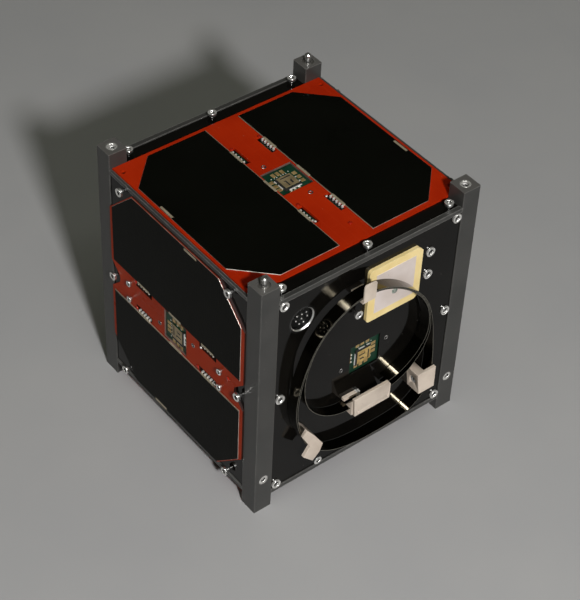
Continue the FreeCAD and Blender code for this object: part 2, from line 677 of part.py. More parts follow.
def make_sleeves():
    body = new_body("plunger_sleeves")
    top = "size.rail_length - size.sleeve_recess"
    for number, side in enumerate((-1, 1)):
        centre = (f"{side} * ({RAIL_MIDDLE})", f"{side} * ({RAIL_MIDDLE})")
        wall = new_sketch(body, f"sleeve_wall_{number}", "XY_Plane", top)
        draw_circle(wall, *centre, "size.plunger_bore")
        pad(body, wall, "size.plunger_depth - size.sleeve_recess", backwards=True)
        inside = new_sketch(body, f"sleeve_inside_{number}", "XY_Plane", f"{top} - size.sleeve_end")
        draw_circle(inside, *centre, "size.sleeve_inner")
        pocket(body, inside,
               "size.plunger_depth - size.sleeve_recess - size.sleeve_end - size.sleeve_floor")
        lip = new_sketch(body, f"sleeve_lip_{number}", "XY_Plane", top)
        draw_circle(lip, *centre, "size.sleeve_lip")
        pocket(body, lip, "size.sleeve_end")
    keep(body, "plunger_sleeves")


def make_plunger(name, side):
    body = new_body(name)
    top = "size.rail_length - size.sleeve_recess"
    centre = (f"{side} * ({RAIL_MIDDLE})", f"{side} * ({RAIL_MIDDLE})")
    foot = f"{top} - size.sleeve_end - size.plunger_foot"
    collar = new_sketch(body, name + "_collar", "XY_Plane", foot)
    draw_circle(collar, *centre, "size.plunger_collar")
    pad(body, collar, "size.collar_height")
    pin = new_sketch(body, name + "_pin", "XY_Plane", foot)
    draw_circle(pin, *centre, "size.plunger")
    pad(body, pin, "size.plunger_foot + size.sleeve_end + size.sleeve_recess + size.plunger_rise")
    bevel_edges(body, name, "size.plunger_bevel", is_highest)
    keep(body, name)


def is_highest(edge):
    return edge.BoundBox.ZMin > read("size.rail_length + size.plunger_rise") - 0.01


def make_set_screws():
    body = new_body("set_screws")
    for number, side in enumerate((-1, 1)):
        centre = (f"{side} * ({RAIL_MIDDLE})", f"{-side} * ({RAIL_MIDDLE})")
        screw = new_sketch(body, f"set_screw_{number}", "XY_Plane", "size.rail_length")
        draw_circle(screw, *centre, "size.set_screw")
        pad(body, screw, "size.set_screw_length", backwards=True)
        slot = new_sketch(body, f"set_screw_slot_{number}", "XY_Plane", "size.rail_length")
        draw_rectangle(slot, *centre, "size.slot_width / 2", "size.slot_half_length")
        pocket(body, slot, "size.slot_depth")
    keep(body, "set_screws")


def make_stack():
    half = "size.stack_half"
    plain_box("inner_stack", (f"-{half}", f"-{half}", f"{BOTTOM_PLATE_OUT} + size.plate"),
              (f"2 * {half}", f"2 * {half}", "size.stack_height"))


for rail in RAILS:
    make_rail(*rail)
make_crossbars("crossbars_top", "size.frame_top", -1)
make_crossbars("crossbars_bottom", "size.frame_bottom", 1)
make_side_plates()
make_front_plate()
make_end_plate("top_plate", f"{TOP_PLATE_OUT} - size.plate")
make_end_plate("bottom_plate", BOTTOM_PLATE_OUT)
for solar_face in SOLAR_FACES:
    make_solar_board(*solar_face)
    make_solar_cells(*solar_face)
    make_sun_sensor(*solar_face)
make_front_sensor()
make_connector()
make_patch_antenna()
tape_lane = make_tape_lane()
for tape_name in TAPE_ROUTES:
    make_tape(tape_name, tape_lane)
for holder in HOLDERS:
    make_holder(*holder)
make_feed_holder()
make_sleeves()
make_plunger("plunger_front", -1)
make_plunger("plunger_back", 1)
make_set_screws()
make_stack()
DOCUMENT.recompute()

for item in DOCUMENT.Objects:
    if "Invalid" in item.State or "Error" in item.State:
        sys.exit(f"{item.Label} failed: {item.State}")
os.makedirs("parts", exist_ok=True)
for node in NODES:
    if node.Shape.isNull() or not node.Shape.isValid():
        sys.exit(f"{node.Label} has no valid shape")
    node.Shape.exportStep(f"parts/{node.Label}.step")
    box = node.Shape.BoundBox
    print(node.Label, len(node.Shape.Solids), "solids", round(node.Shape.Volume, 1), "mm3",
          [round(value, 2) for value in (box.XMin, box.XMax, box.YMin, box.YMax, box.ZMin, box.ZMax)])
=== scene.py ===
import math

import bpy
from mathutils import Matrix, Vector


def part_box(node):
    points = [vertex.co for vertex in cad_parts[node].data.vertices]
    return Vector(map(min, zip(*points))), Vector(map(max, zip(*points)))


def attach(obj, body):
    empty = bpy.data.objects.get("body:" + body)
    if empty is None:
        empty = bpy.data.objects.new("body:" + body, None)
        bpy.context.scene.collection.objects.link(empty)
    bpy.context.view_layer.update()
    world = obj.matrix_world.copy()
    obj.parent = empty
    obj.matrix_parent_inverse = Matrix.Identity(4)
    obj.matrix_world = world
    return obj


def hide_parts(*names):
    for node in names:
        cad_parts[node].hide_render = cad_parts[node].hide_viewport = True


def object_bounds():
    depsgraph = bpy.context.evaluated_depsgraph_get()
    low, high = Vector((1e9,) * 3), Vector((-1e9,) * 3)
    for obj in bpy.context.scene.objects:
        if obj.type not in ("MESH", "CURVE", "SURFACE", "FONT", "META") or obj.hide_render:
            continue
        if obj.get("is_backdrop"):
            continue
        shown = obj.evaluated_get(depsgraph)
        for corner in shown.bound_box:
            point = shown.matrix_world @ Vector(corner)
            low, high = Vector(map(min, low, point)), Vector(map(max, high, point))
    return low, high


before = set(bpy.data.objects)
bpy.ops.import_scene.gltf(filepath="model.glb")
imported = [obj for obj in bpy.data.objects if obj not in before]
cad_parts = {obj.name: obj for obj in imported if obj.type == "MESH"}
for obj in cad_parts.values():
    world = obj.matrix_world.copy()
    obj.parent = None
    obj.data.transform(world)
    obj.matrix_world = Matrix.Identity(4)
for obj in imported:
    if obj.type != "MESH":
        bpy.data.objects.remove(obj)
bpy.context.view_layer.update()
print("frame loaded:", len(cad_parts), "parts")

mm = 0.001

view = {"place": (-0.32097, -0.38711, 0.52121), "look": (0.46765, 0.55619, -0.68699),
        "up": (0.40272, 0.55780, 0.72573), "lens": 106.23}
lampAim = Vector((0, 0, 0.05))
# spark shows in reflections only, as the shine on the tapes
lamps = {
    "key": dict(towards=(-0.31, -0.74, 0.60), distance=1.3, size=0.12, power=14.0, colour=(1, 0.985, 0.985)),
    "spark": dict(towards=(-0.127, -0.50, 0.857), distance=1.3, size=0.12, power=17.0,
                  colour=(1, 0.99, 0.98), diffuse=False),
    "fill": dict(towards=(-0.12, -0.25, 1.0), distance=1.6, size=1.1, power=2.4, colour=(0.98, 1, 0.86)),
}
roomLight = {"Color": (0.96, 1, 0.80, 1), "Strength": 0.05}


def makeCamera(place, look, up, lens):
    backward = -Vector(look).normalized()
    right = Vector(up).cross(backward).normalized()
    above = backward.cross(right)
    basis = Matrix((right, above, backward)).transposed().to_4x4()
    data = bpy.data.cameras.new("camera")
    camera = bpy.data.objects.new("camera", data)
    bpy.context.scene.collection.objects.link(camera)
    camera.matrix_world = Matrix.Translation(Vector(place)) @ basis
    data.sensor_width = 36
    data.lens = lens
    data.clip_start = 0.01
    bpy.context.scene.camera = camera


def makeLight(name, towards, distance, size, power, colour, diffuse=True):
    data = bpy.data.lights.new(name, "AREA")
    data.shape = "DISK"
    data.size = size
    data.energy = power
    data.color = colour
    light = bpy.data.objects.new(name, data)
    bpy.context.scene.collection.objects.link(light)
    light.location = lampAim + Vector(towards).normalized() * distance
    light.rotation_euler = Vector(towards).to_track_quat("Z", "Y").to_euler()
    light.visible_diffuse = diffuse


makeCamera(**view)
for lampName, lamp in lamps.items():
    makeLight(lampName, **lamp)

world = bpy.data.worlds.new("room")
bpy.context.scene.world = world
world.use_nodes = True
for label, value in roomLight.items():
    world.node_tree.nodes["Background"].inputs[label].default_value = value
bpy.context.scene.view_settings.view_transform = "Standard"
print("camera and lights set")


def newMaterial(name):
    material = bpy.data.materials.new(name)
    material.use_nodes = True
    tree = material.node_tree
    return material, tree, tree.nodes["Principled BSDF"]


def addNode(tree, kind, values=None, **settings):
    node = tree.nodes.new(kind)
    for key, value in settings.items():
        setattr(node, key, value)
    for key, value in (values or {}).items():
        node.inputs[key].default_value = value
    return node


def join(tree, source, output, target, socket):
    tree.links.new(source.outputs[output], target.inputs[socket])


def mathNode(tree, operation, first, second=None, clamp=False):
    node = addNode(tree, "ShaderNodeMath", operation=operation, use_clamp=clamp)
    for index, value in enumerate((first, second)):
        if value is None:
            continue
        if isinstance(value, (int, float)):
            node.inputs[index].default_value = value
        else:
            tree.links.new(value, node.inputs[index])
    return node.outputs[0]


def rangeNode(tree, value, low, high, toLow=0.0, toHigh=1.0):
    node = addNode(tree, "ShaderNodeMapRange",
                   {"From Min": low, "From Max": high, "To Min": toLow, "To Max": toHigh})
    tree.links.new(value, node.inputs["Value"])
    return node.outputs[0]


def mixColours(tree, share, first, second):
    node = addNode(tree, "ShaderNodeMix", data_type="RGBA")
    for socket, value in ((node.inputs[0], share), (node.inputs[6], first), (node.inputs[7], second)):
        if isinstance(value, (int, float, tuple)):
            socket.default_value = value
        else:
            tree.links.new(value, socket)
    return node.outputs[2]


def bumpNormal(tree, height, strength):
    bump = addNode(tree, "ShaderNodeBump", {"Strength": strength, "Distance": 0.1 * mm})
    tree.links.new(height, bump.inputs["Height"])
    return bump.outputs["Normal"]


def splitAxes(tree, source, output):
    # a vector's X, Y and Z
    axes = addNode(tree, "ShaderNodeSeparateXYZ")
    join(tree, source, output, axes, "Vector")
    return axes.outputs


def feed(tree, shader, base, rough, normal):
    for label, source in (("Base Color", base), ("Roughness", rough), ("Normal", normal)):
        tree.links.new(source, shader.inputs[label])


def newGroup(name, inputs, outputs):
    group = bpy.data.node_groups.new(name, "ShaderNodeTree")
    for label, kind, value in inputs:
        socket = group.interface.new_socket(label, in_out="INPUT", socket_type=kind)
        socket.default_value = value
    for label, kind in outputs:
        group.interface.new_socket(label, in_out="OUTPUT", socket_type=kind)
    start = group.nodes.new("NodeGroupInput")
    end = group.nodes.new("NodeGroupOutput")
    return group, start, end


def useGroup(tree, group, values=None):
    node = addNode(tree, "ShaderNodeGroup", node_tree=group)
    for key, value in (values or {}).items():
        node.inputs[key].default_value = value
    return node


def makeGrainGroup():
    # fine even grain, a slow cloudy change and a few specks
    group, start, end = newGroup(
        "grain", [("Grain Size", "NodeSocketFloat", 2500.0), ("Cloud Size", "NodeSocketFloat", 60.0)],
        [("Grain", "NodeSocketFloat"), ("Cloud", "NodeSocketFloat"), ("Specks", "NodeSocketFloat")])
    place = addNode(group, "ShaderNodeTexCoord")
    fine = addNode(group, "ShaderNodeTexNoise", {"Detail": 2.0, "Roughness": 0.6})
    slow = addNode(group, "ShaderNodeTexNoise", {"Detail": 3.0, "Roughness": 0.55})
    dots = addNode(group, "ShaderNodeTexVoronoi", {"Scale": 420.0})
    for node in (fine, slow, dots):
        join(group, place, "Object", node, "Vector")
    join(group, start, "Grain Size", fine, "Scale")
    join(group, start, "Cloud Size", slow, "Scale")
    join(group, fine, "Fac", end, "Grain")
    group.links.new(rangeNode(group, slow.outputs["Fac"], 0.35, 0.65), end.inputs["Cloud"])
    # a speck is the middle of a cell, and only a few cells have one
    near = rangeNode(group, dots.outputs["Distance"], 0.10, 0.04)
    pick = addNode(group, "ShaderNodeSeparateColor")
    join(group, dots, "Color", pick, "Color")
    rare = mathNode(group, "GREATER_THAN", pick.outputs[0], 0.93)
    group.links.new(mathNode(group, "MULTIPLY", near, rare), end.inputs["Specks"])
    return group


def makeEdgeWearAndHighlightGroup():
    # where edges are lightened: rubbed by handling, and a painted edge highlight
    group, start, end = newGroup(
        "rubbedEdges", [("Width", "NodeSocketFloat", 0.0004), ("Patchiness", "NodeSocketFloat", 0.5)],
        [("Mask", "NodeSocketFloat")])
    soft = addNode(group, "ShaderNodeBevel", samples=6)
    join(group, start, "Width", soft, "Radius")
    flat = addNode(group, "ShaderNodeNewGeometry")
    facing = addNode(group, "ShaderNodeVectorMath", operation="DOT_PRODUCT")
    join(group, soft, "Normal", facing, 0)
    join(group, flat, "Normal", facing, 1)
    edge = rangeNode(group, facing.outputs["Value"], 0.985, 0.90)
    place = addNode(group, "ShaderNodeTexCoord")
    patches = addNode(group, "ShaderNodeTexNoise", {"Scale": 260.0, "Detail": 4.0})
    join(group, place, "Object", patches, "Vector")
    wornAndLit = rangeNode(group, patches.outputs["Fac"], 0.35, 0.62)
    kept = mathNode(group, "SUBTRACT", 1.0, start.outputs["Patchiness"])
    share = mathNode(group, "MAXIMUM", wornAndLit, kept)
    group.links.new(mathNode(group, "MULTIPLY", edge, share, clamp=True), end.inputs["Mask"])
    return group


def makeScratchGroup():
    # hair scratches from wiping, in two directions
    group, start, end = newGroup(
        "hairScratches", [("Density", "NodeSocketFloat", 1.0)], [("Mask", "NodeSocketFloat")])
    place = addNode(group, "ShaderNodeTexCoord")
    masks = []
    for turn, stretch in (((0.3, 0.5, 0.4), (1.0, 30.0, 1.0)), ((1.1, 0.2, 1.9), (1.0, 24.0, 1.0))):
        spread = addNode(group, "ShaderNodeMapping", {"Rotation": turn, "Scale": stretch})
        join(group, place, "Object", spread, "Vector")
        lines = addNode(group, "ShaderNodeTexNoise", {"Scale": 90.0, "Detail": 1.0})
        join(group, spread, "Vector", lines, "Vector")
        masks.append(rangeNode(group, lines.outputs["Fac"], 0.70, 0.76))
    both = mathNode(group, "MAXIMUM", masks[0], masks[1])
    group.links.new(mathNode(group, "MULTIPLY", both, start.outputs["Density"], clamp=True),
                    end.inputs["Mask"])
    return group


grainGroup = makeGrainGroup()
rubGroup = makeEdgeWearAndHighlightGroup()
scratchGroup = makeScratchGroup()


def coatedMetal(name, look):
    # anodised or lacquered metal with grain, edges lightened by rubbing and as a painted highlight, specks
    # of dust and hair scratches
    material, tree, shader = newMaterial(name)
    grain = useGroup(tree, grainGroup, {"Grain Size": look["grainSize"]})
    rub = useGroup(tree, rubGroup, {"Width": look["rubWidth"], "Patchiness": look["patchiness"]})
    scratch = useGroup(tree, scratchGroup, {"Density": look["scratches"]})
    base = mixColours(tree, grain.outputs["Cloud"], look["dark"], look["light"])
    # the edge mask mixes in a lighter tone: rubbed wear, and a painted edge highlight
    wornAndLit = mathNode(tree, "MULTIPLY", rub.outputs["Mask"], look["rub"])
    base = mixColours(tree, wornAndLit, base, look["bare"])
    dust = mathNode(tree, "MULTIPLY", grain.outputs["Specks"], look["dust"])
    base = mixColours(tree, dust, base, (0.30, 0.29, 0.27, 1))
    if look.get("sawnEndsAndPaintedLight"):
        # end faces show uncoated saw-cut metal, and are lightened as painted light falling from above
        shape = addNode(tree, "ShaderNodeNewGeometry")
        axes = splitAxes(tree, shape, "Normal")
        ends = mathNode(tree, "GREATER_THAN", mathNode(tree, "ABSOLUTE", axes["Z"]), 0.95)
        base = mixColours(tree, mathNode(tree, "MULTIPLY", ends, 0.8), base, look["sawnEndsAndPaintedLight"])
    rough = rangeNode(tree, grain.outputs["Cloud"], 0, 1, look["rough"] - 0.03, look["rough"] + 0.04)
    scuffs = mathNode(tree, "MULTIPLY", scratch.outputs["Mask"], 0.14)
    rough = mathNode(tree, "ADD", rough, scuffs, clamp=True)
    feed(tree, shader, base, rough, bumpNormal(tree, grain.outputs["Grain"], look["bump"]))
    shader.inputs["Metallic"].default_value = look["metallic"]
    shader.inputs["Specular IOR Level"].default_value = look["gloss"]
    return material


# the rails' strong edge tone is mostly a painted highlight along their edges
railLook = {
    "grainSize": 2600.0, "rubWidth": 0.6 * mm, "patchiness": 0.35, "rub": 0.85, "scratches": 0.5,
    "dark": (0.036, 0.036, 0.034, 1), "light": (0.050, 0.049, 0.046, 1),
    "bare": (0.24, 0.235, 0.22, 1),
    "dust": 0.35, "rough": 0.36, "bump": 0.12, "metallic": 0.0, "gloss": 0.38,
}
plateLook = {
    "grainSize": 1600.0, "rubWidth": 0.3 * mm, "patchiness": 0.8, "rub": 0.25, "scratches": 0.35,
    "dark": (0.0028, 0.0025, 0.0021, 1), "light": (0.0048, 0.0043, 0.0036, 1),
    "bare": (0.12, 0.12, 0.11, 1),
    "dust": 0.25, "rough": 0.08, "bump": 0.008, "metallic": 0.0, "gloss": 0.17,
}
railMaterial = coatedMetal("greyAnodisedRail", dict(railLook, sawnEndsAndPaintedLight=(0.115, 0.110, 0.103, 1)))
crossbarMaterial = coatedMetal("greyAnodisedBar", railLook)
plateMaterial = coatedMetal("glossyBlackPlate", plateLook)


def boardMaterial(name, look, across, along):
    # solder mask: buried tracks show as slightly lighter, raised bands
    material, tree, shader = newMaterial(name)
    axes = splitAxes(tree, addNode(tree, "ShaderNodeTexCoord"), "Object")
    grain = useGroup(tree, grainGroup, {"Grain Size": 3200.0, "Cloud Size": 45.0})
    base = mixColours(tree, grain.outputs["Cloud"], look["dark"], look["light"])
    bands = addNode(tree, "ShaderNodeTexBrick", {
        "Scale": 1.0, "Mortar Size": 0.12 * mm, "Mortar Smooth": 0.2, "Brick Width": 31 * mm,
        "Row Height": 4.6 * mm}, offset=0.37)
    flat = addNode(tree, "ShaderNodeCombineXYZ")
    tree.links.new(axes[along], flat.inputs[0])
    tree.links.new(axes[across], flat.inputs[1])
    join(tree, flat, "Vector", bands, "Vector")
    lines = mathNode(tree, "MULTIPLY", bands.outputs["Fac"], 0.30)
    base = mixColours(tree, lines, base, look["track"])
    dust = mathNode(tree, "MULTIPLY", grain.outputs["Specks"], 0.5)
    base = mixColours(tree, dust, base, (0.5, 0.2, 0.12, 1))
    rough = rangeNode(tree, grain.outputs["Cloud"], 0, 1, look["rough"], look["rough"] + 0.09)
    fineHeight = mathNode(tree, "MULTIPLY", grain.outputs["Grain"], 0.25)
    height = mathNode(tree, "ADD", fineHeight, bands.outputs["Fac"])
    feed(tree, shader, base, rough, bumpNormal(tree, height, 0.10))
    shader.inputs["Specular IOR Level"].default_value = look["gloss"]
    return material


boardLook = {"dark": (0.38, 0.017, 0.0016, 1), "light": (0.45, 0.023, 0.002, 1),
             "track": (0.52, 0.04, 0.010, 1), "rough": 0.26, "gloss": 0.10}
# a darker copy of the top board's red for the side faces: painted shade
shadedSideBoardLook = dict(boardLook, dark=(0.31, 0.028, 0.006, 1), light=(0.37, 0.035, 0.008, 1), gloss=0.04)
# near-black edge faces of the side boards: painted shade
paintedShadeEdgeLook = {"dark": (0.020, 0.005, 0.003, 1), "light": (0.036, 0.009, 0.005, 1),
                 "track": (0.05, 0.015, 0.010, 1), "rough": 0.5, "gloss": 0.2}


def cellMaterial(name, look, across, along, middle):
    # cover glass over a near-black cell with thin current-collecting fingers and two bars
    material, tree, shader = newMaterial(name)
    axes = splitAxes(tree, addNode(tree, "ShaderNodeTexCoord"), "Object")
    out = mathNode(tree, "ABSOLUTE", mathNode(tree, "SUBTRACT", axes[across], middle))
    finger = mathNode(tree, "FRACT", mathNode(tree, "DIVIDE", axes[along], look["fingerPitch"]))
    finger = mathNode(tree, "ABSOLUTE", mathNode(tree, "SUBTRACT", finger, 0.5))
    finger = rangeNode(tree, finger, look["fingerShare"], look["fingerShare"] * 0.6)
    bar = mathNode(tree, "LESS_THAN", out, look["barInner"])
    grain = useGroup(tree, grainGroup, {"Grain Size": 1800.0, "Cloud Size": 30.0})
    base = mixColours(tree, grain.outputs["Cloud"], look["dark"], look["light"])
    base = mixColours(tree, mathNode(tree, "MULTIPLY", finger, look["fingerShow"]), base, look["silver"])
    base = mixColours(tree, bar, base, look["barColour"])
    rough = rangeNode(tree, grain.outputs["Cloud"], 0, 1, look["rough"], look["rough"] + 0.05)
    rough = mathNode(tree, "ADD", rough, mathNode(tree, "MULTIPLY", bar, 0.3))
    feed(tree, shader, base, rough, bumpNormal(tree, grain.outputs["Grain"], 0.02))
    tree.links.new(mathNode(tree, "MULTIPLY", bar, 0.6), shader.inputs["Metallic"])
    shader.inputs["Specular IOR Level"].default_value = look["gloss"]
    return material


cellLook = {
    "fingerPitch": 1.1 * mm, "fingerShare": 0.05, "fingerShow": 0.30, "barInner": 7.95 * mm,
    "dark": (0.0022, 0.0024, 0.0015, 1), "light": (0.0032, 0.0034, 0.0023, 1),
    "silver": (0.03, 0.033, 0.026, 1), "barColour": (0.40, 0.35, 0.25, 1), "rough": 0.12, "gloss": 0.03,
}


def plainSurface(name, sizes, dark, light, rough, bump, metallic, special=None):
    # one finish with a cloudy tone, fine grain, and, where it has them, edges lightened partly by rubbing
    # and partly as a painted highlight, and specks
    special = special or {}
    material, tree, shader = newMaterial(name)
    grain = useGroup(tree, grainGroup, {"Grain Size": sizes[0], "Cloud Size": sizes[1]})
    base = mixColours(tree, grain.outputs["Cloud"], (*dark, 1), (*light, 1))
    if "edge" in special:
        # edges lightened: painted highlight, partly rubbed wear
        rub = useGroup(tree, rubGroup, {"Width": special["edgeWidth"], "Patchiness": 0.3})
        base = mixColours(tree, rub.outputs["Mask"], base, (*special["edge"], 1))
    if "speck" in special:
        specks = mathNode(tree, "MULTIPLY", grain.outputs["Specks"], 0.7)
        base = mixColours(tree, specks, base, (*special["speck"], 1))
    roughness = rangeNode(tree, grain.outputs["Cloud"], 0, 1, rough - 0.04, rough + 0.05)
    feed(tree, shader, base, roughness, bumpNormal(tree, grain.outputs["Grain"], bump))
    shader.inputs["Metallic"].default_value = metallic
    shader.inputs["Specular IOR Level"].default_value = special.get("gloss", 0.5)
    return material


# grain and cloud size, dark and light tone, roughness, bump, metallic, and what is special
finishes = {
    # the edge tones lighten rims and edges: a painted highlight, partly wear
    "stainlessScrew": ((5000, 400), (0.64, 0.63, 0.60), (0.84, 0.83, 0.80), 0.20, 0.03, 0.62,
                       dict(edge=(1.0, 1.0, 0.98), edgeWidth=0.25 * mm)),
    # painted shade: socket insides, undersides of heads on necks and the sides of connector pins
    "paintedShadeBlack": ((5000, 400), (0.008, 0.008, 0.008), (0.02, 0.02, 0.019), 0.5, 0.1, 0.2),
    "whiteHolderPlastic": ((2400, 120), (0.60, 0.50, 0.41), (0.70, 0.60, 0.50), 0.42, 0.08, 0.0,
                           dict(edge=(0.80, 0.72, 0.62), edgeWidth=0.3 * mm, speck=(0.35, 0.27, 0.2))),
    "patchCeramic": ((2600, 90), (0.88, 0.68, 0.29), (0.98, 0.79, 0.39), 0.38, 0.10, 0.0,
                     dict(edge=(0.98, 0.86, 0.52), edgeWidth=0.3 * mm, speck=(0.45, 0.28, 0.1))),
    "patchSilver": ((1500, 70), (0.76, 0.66, 0.60), (0.86, 0.77, 0.73), 0.55, 0.10, 0.25,
                    dict(speck=(0.4, 0.42, 0.36))),
    "pinSteel": ((4000, 300), (0.60, 0.60, 0.58), (0.78, 0.78, 0.76), 0.22, 0.04, 0.95,
                 dict(edge=(0.97, 0.97, 0.95), edgeWidth=0.2 * mm)),
    "darkSteel": ((4000, 300), (0.16, 0.155, 0.15), (0.30, 0.29, 0.28), 0.33, 0.08, 1.0,
                  dict(edge=(0.6, 0.6, 0.58), edgeWidth=0.2 * mm)),
    "greySleeve": ((4000, 300), (0.080, 0.077, 0.070), (0.115, 0.11, 0.10), 0.36, 0.08, 0.2,
                   dict(edge=(0.3, 0.29, 0.27), edgeWidth=0.2 * mm)),
    "darkInsert": ((2600, 200), (0.003, 0.003, 0.003), (0.008, 0.008, 0.007), 0.5, 0.1, 0.0,
                   dict(gloss=0.2)),
    "glossyBlackShell": ((2600, 200), (0.006, 0.006, 0.006), (0.012, 0.012, 0.011), 0.16, 0.03, 0.0,
                         dict(gloss=0.6)),
    "satinLip": ((3000, 300), (0.62, 0.61, 0.59), (0.80, 0.79, 0.77), 0.36, 0.05, 1.0),
    "goldPad": ((3000, 350), (0.42, 0.27, 0.10), (0.66, 0.47, 0.21), 0.36, 0.12, 0.6),
    "greenBoard": ((3000, 160), (0.002, 0.024, 0.012), (0.006, 0.048, 0.024), 0.35, 0.1, 0.0,
                   dict(gloss=0.2)),
    "solder": ((2600, 500), (0.74, 0.73, 0.68), (0.92, 0.91, 0.87), 0.32, 0.15, 0.45),
    "tarnishedSolder": ((2600, 900), (0.17, 0.24, 0.20), (0.46, 0.50, 0.44), 0.3, 0.15, 0.6),
    "groundEdge": ((4000, 300), (0.64, 0.60, 0.53), (0.84, 0.80, 0.72), 0.34, 0.05, 1.0),
    "rawEdge": ((3000, 260), (0.10, 0.06, 0.05), (0.17, 0.11, 0.09), 0.6, 0.2, 0.0),
    "redResin": ((3000, 300), (0.30, 0.010, 0.003), (0.50, 0.02, 0.004), 0.12, 0.05, 0.0),
    "tinnedTab": ((2600, 260), (0.33, 0.28, 0.19), (0.46, 0.40, 0.28), 0.40, 0.1, 0.3),
    "blackMarkAndShadow": ((2600, 260), (0.004, 0.004, 0.004), (0.010, 0.009, 0.008), 0.6, 0.1, 0.0),
    "tanChip": ((2600, 260), (0.25, 0.19, 0.10), (0.37, 0.29, 0.16), 0.33, 0.08, 0.3),
    # the front chip's gold is lighter than the strips' chip: partly its own tone, partly a painted highlight
    "giltChipWithPaintedHighlight": ((2600, 700), (0.40, 0.25, 0.07), (0.66, 0.47, 0.17), 0.33, 0.08, 0.3),
    "stackBoard": ((2600, 80), (0.02, 0.02, 0.02), (0.04, 0.04, 0.04), 0.6, 0.1, 0.0),
}
material = {name: plainSurface(name, *row) for name, row in finishes.items()}


def tapeMaterial(look):
    # rolled spring tape: fine lines along its length, smoky colour, bright cut edges
    surface, tree, shader = newMaterial("springTape")
    place = addNode(tree, "ShaderNodeTexCoord")
    stretch = addNode(tree, "ShaderNodeMapping", {"Scale": (1.0, 26.0, 1.0)})
    join(tree, place, "Object", stretch, "Vector")
    lines = addNode(tree, "ShaderNodeTexNoise", {"Scale": 140.0, "Detail": 3.0})
    join(tree, stretch, "Vector", lines, "Vector")
    grain = useGroup(tree, grainGroup, {"Grain Size": 2200.0, "Cloud Size": 50.0})
    base = mixColours(tree, lines.outputs["Fac"], look["dark"], look["light"])
    base = mixColours(tree, mathNode(tree, "MULTIPLY", grain.outputs["Cloud"], 0.4), base, look["gold"])
    facing = addNode(tree, "ShaderNodeNewGeometry")
    axes = splitAxes(tree, facing, "Normal")
    cut = mathNode(tree, "GREATER_THAN", mathNode(tree, "ABSOLUTE", axes["Y"]), 0.6)
    base = mixColours(tree, cut, base, look["cut"])
    rough = rangeNode(tree, lines.outputs["Fac"], 0.3, 0.7, look["rough"], look["rough"] + 0.05)
    rough = mathNode(tree, "ADD", rough, mathNode(tree, "MULTIPLY", cut, 0.2))
    feed(tree, shader, base, rough, bumpNormal(tree, lines.outputs["Fac"], 0.003))
    shader.inputs["Metallic"].default_value = 1.0
    return surface


tapeLook = {"dark": (0.060, 0.056, 0.046, 1), "light": (0.105, 0.098, 0.080, 1),
            "gold": (0.17, 0.135, 0.075, 1), "cut": (0.30, 0.285, 0.24, 1), "rough": 0.06}
material["springTape"] = tapeMaterial(tapeLook)


def dress(finish, *names):
    for name in names:
        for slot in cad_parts[name].material_slots:
            slot.material = finish


dress(railMaterial, "rail_front", "rail_right", "rail_left", "rail_back")
dress(crossbarMaterial, "crossbars_top", "crossbars_bottom")
dress(plateMaterial, "front_plate", "back_plate", "left_plate", "right_plate", "top_plate", "bottom_plate")
dress(material["springTape"], "antenna_tape_inner", "antenna_tape_middle", "antenna_tape_outer")
dress(material["patchCeramic"], "patch_ceramic")
dress(material["patchSilver"], "patch_metal")
dress(material["darkInsert"], "connector_insert")
dress(material["pinSteel"], "plunger_front", "plunger_back")
dress(material["greySleeve"], "plunger_sleeves")
dress(material["stackBoard"], "inner_stack")
print("finishes made")


def focus(*pieces):
    bpy.ops.object.select_all(action="DESELECT")
    for piece in pieces:
        piece.select_set(True)
    bpy.context.view_layer.objects.active = pieces[0]


def named(name):
    piece = bpy.context.object
    piece.name = name
    piece.data.name = name
    return piece


def pickFaces(piece, wanted):
    # selects the faces that pass the test, and nothing else, then opens the piece for editing
    focus(piece)
    bpy.ops.object.mode_set(mode="EDIT")
    bpy.context.tool_settings.mesh_select_mode = (False, False, True)
    bpy.ops.mesh.select_all(action="DESELECT")
    bpy.ops.object.mode_set(mode="OBJECT")
    for face in piece.data.polygons:
        face.select = wanted(face.center, face.normal)
    bpy.ops.object.mode_set(mode="EDIT")


def closeEdit():
    bpy.ops.object.mode_set(mode="OBJECT")


def applyModifier(piece, kind, **settings):
    focus(piece)
    modifier = piece.modifiers.new(kind.title(), kind)
    for key, value in settings.items():
        setattr(modifier, key, value)
    bpy.ops.object.modifier_apply(modifier=modifier.name)


def roundOff(piece, width, segments, angle):
    applyModifier(piece, "BEVEL", width=width, segments=segments, limit_method="ANGLE",
                  angle_limit=math.radians(angle), harden_normals=True)


def settle(piece):
    focus(piece)
    bpy.ops.object.transform_apply(location=True, rotation=True, scale=True)


def placed(piece, place, turn):
    piece.location = place
    piece.rotation_euler = [math.radians(angle) for angle in turn]
    settle(piece)
    return piece


def smoothed(piece, angle=40):
    focus(piece)
    bpy.ops.object.shade_smooth_by_angle(angle=math.radians(angle))


def turned(turn, point):
    # a point or direction, turned about X, then Y, then Z
    point = Vector(point)
    for axis, angle in zip("XYZ", turn):
        point = Matrix.Rotation(math.radians(angle), 3, axis) @ point
    return point


def copied(master, name, place, turn=(0, 0, 0)):
    focus(master)
    bpy.ops.object.duplicate(linked=False)
    return placed(named(name), place, turn)


def joined(pieces, name):
    focus(*pieces)
    if len(pieces) > 1:
        bpy.ops.object.join()
    return named(name)


def removed(*pieces):
    for piece in pieces:
        bpy.data.objects.remove(piece)


def spread(master, name, places, turn=(0, 0, 0), spent=False):
    # one piece at many places, joined; a spent master is thrown away
    pieces = [copied(master, f"{name}{number}", place, turn) for number, place in enumerate(places)]
    if spent:
        removed(master)
    return joined(pieces, name)


def coat(piece, *finishNames):
    piece.data.materials.clear()
    for finishName in finishNames:
        piece.data.materials.append(material[finishName])


def hand(piece, body="structure"):
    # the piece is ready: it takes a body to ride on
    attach(piece, body)


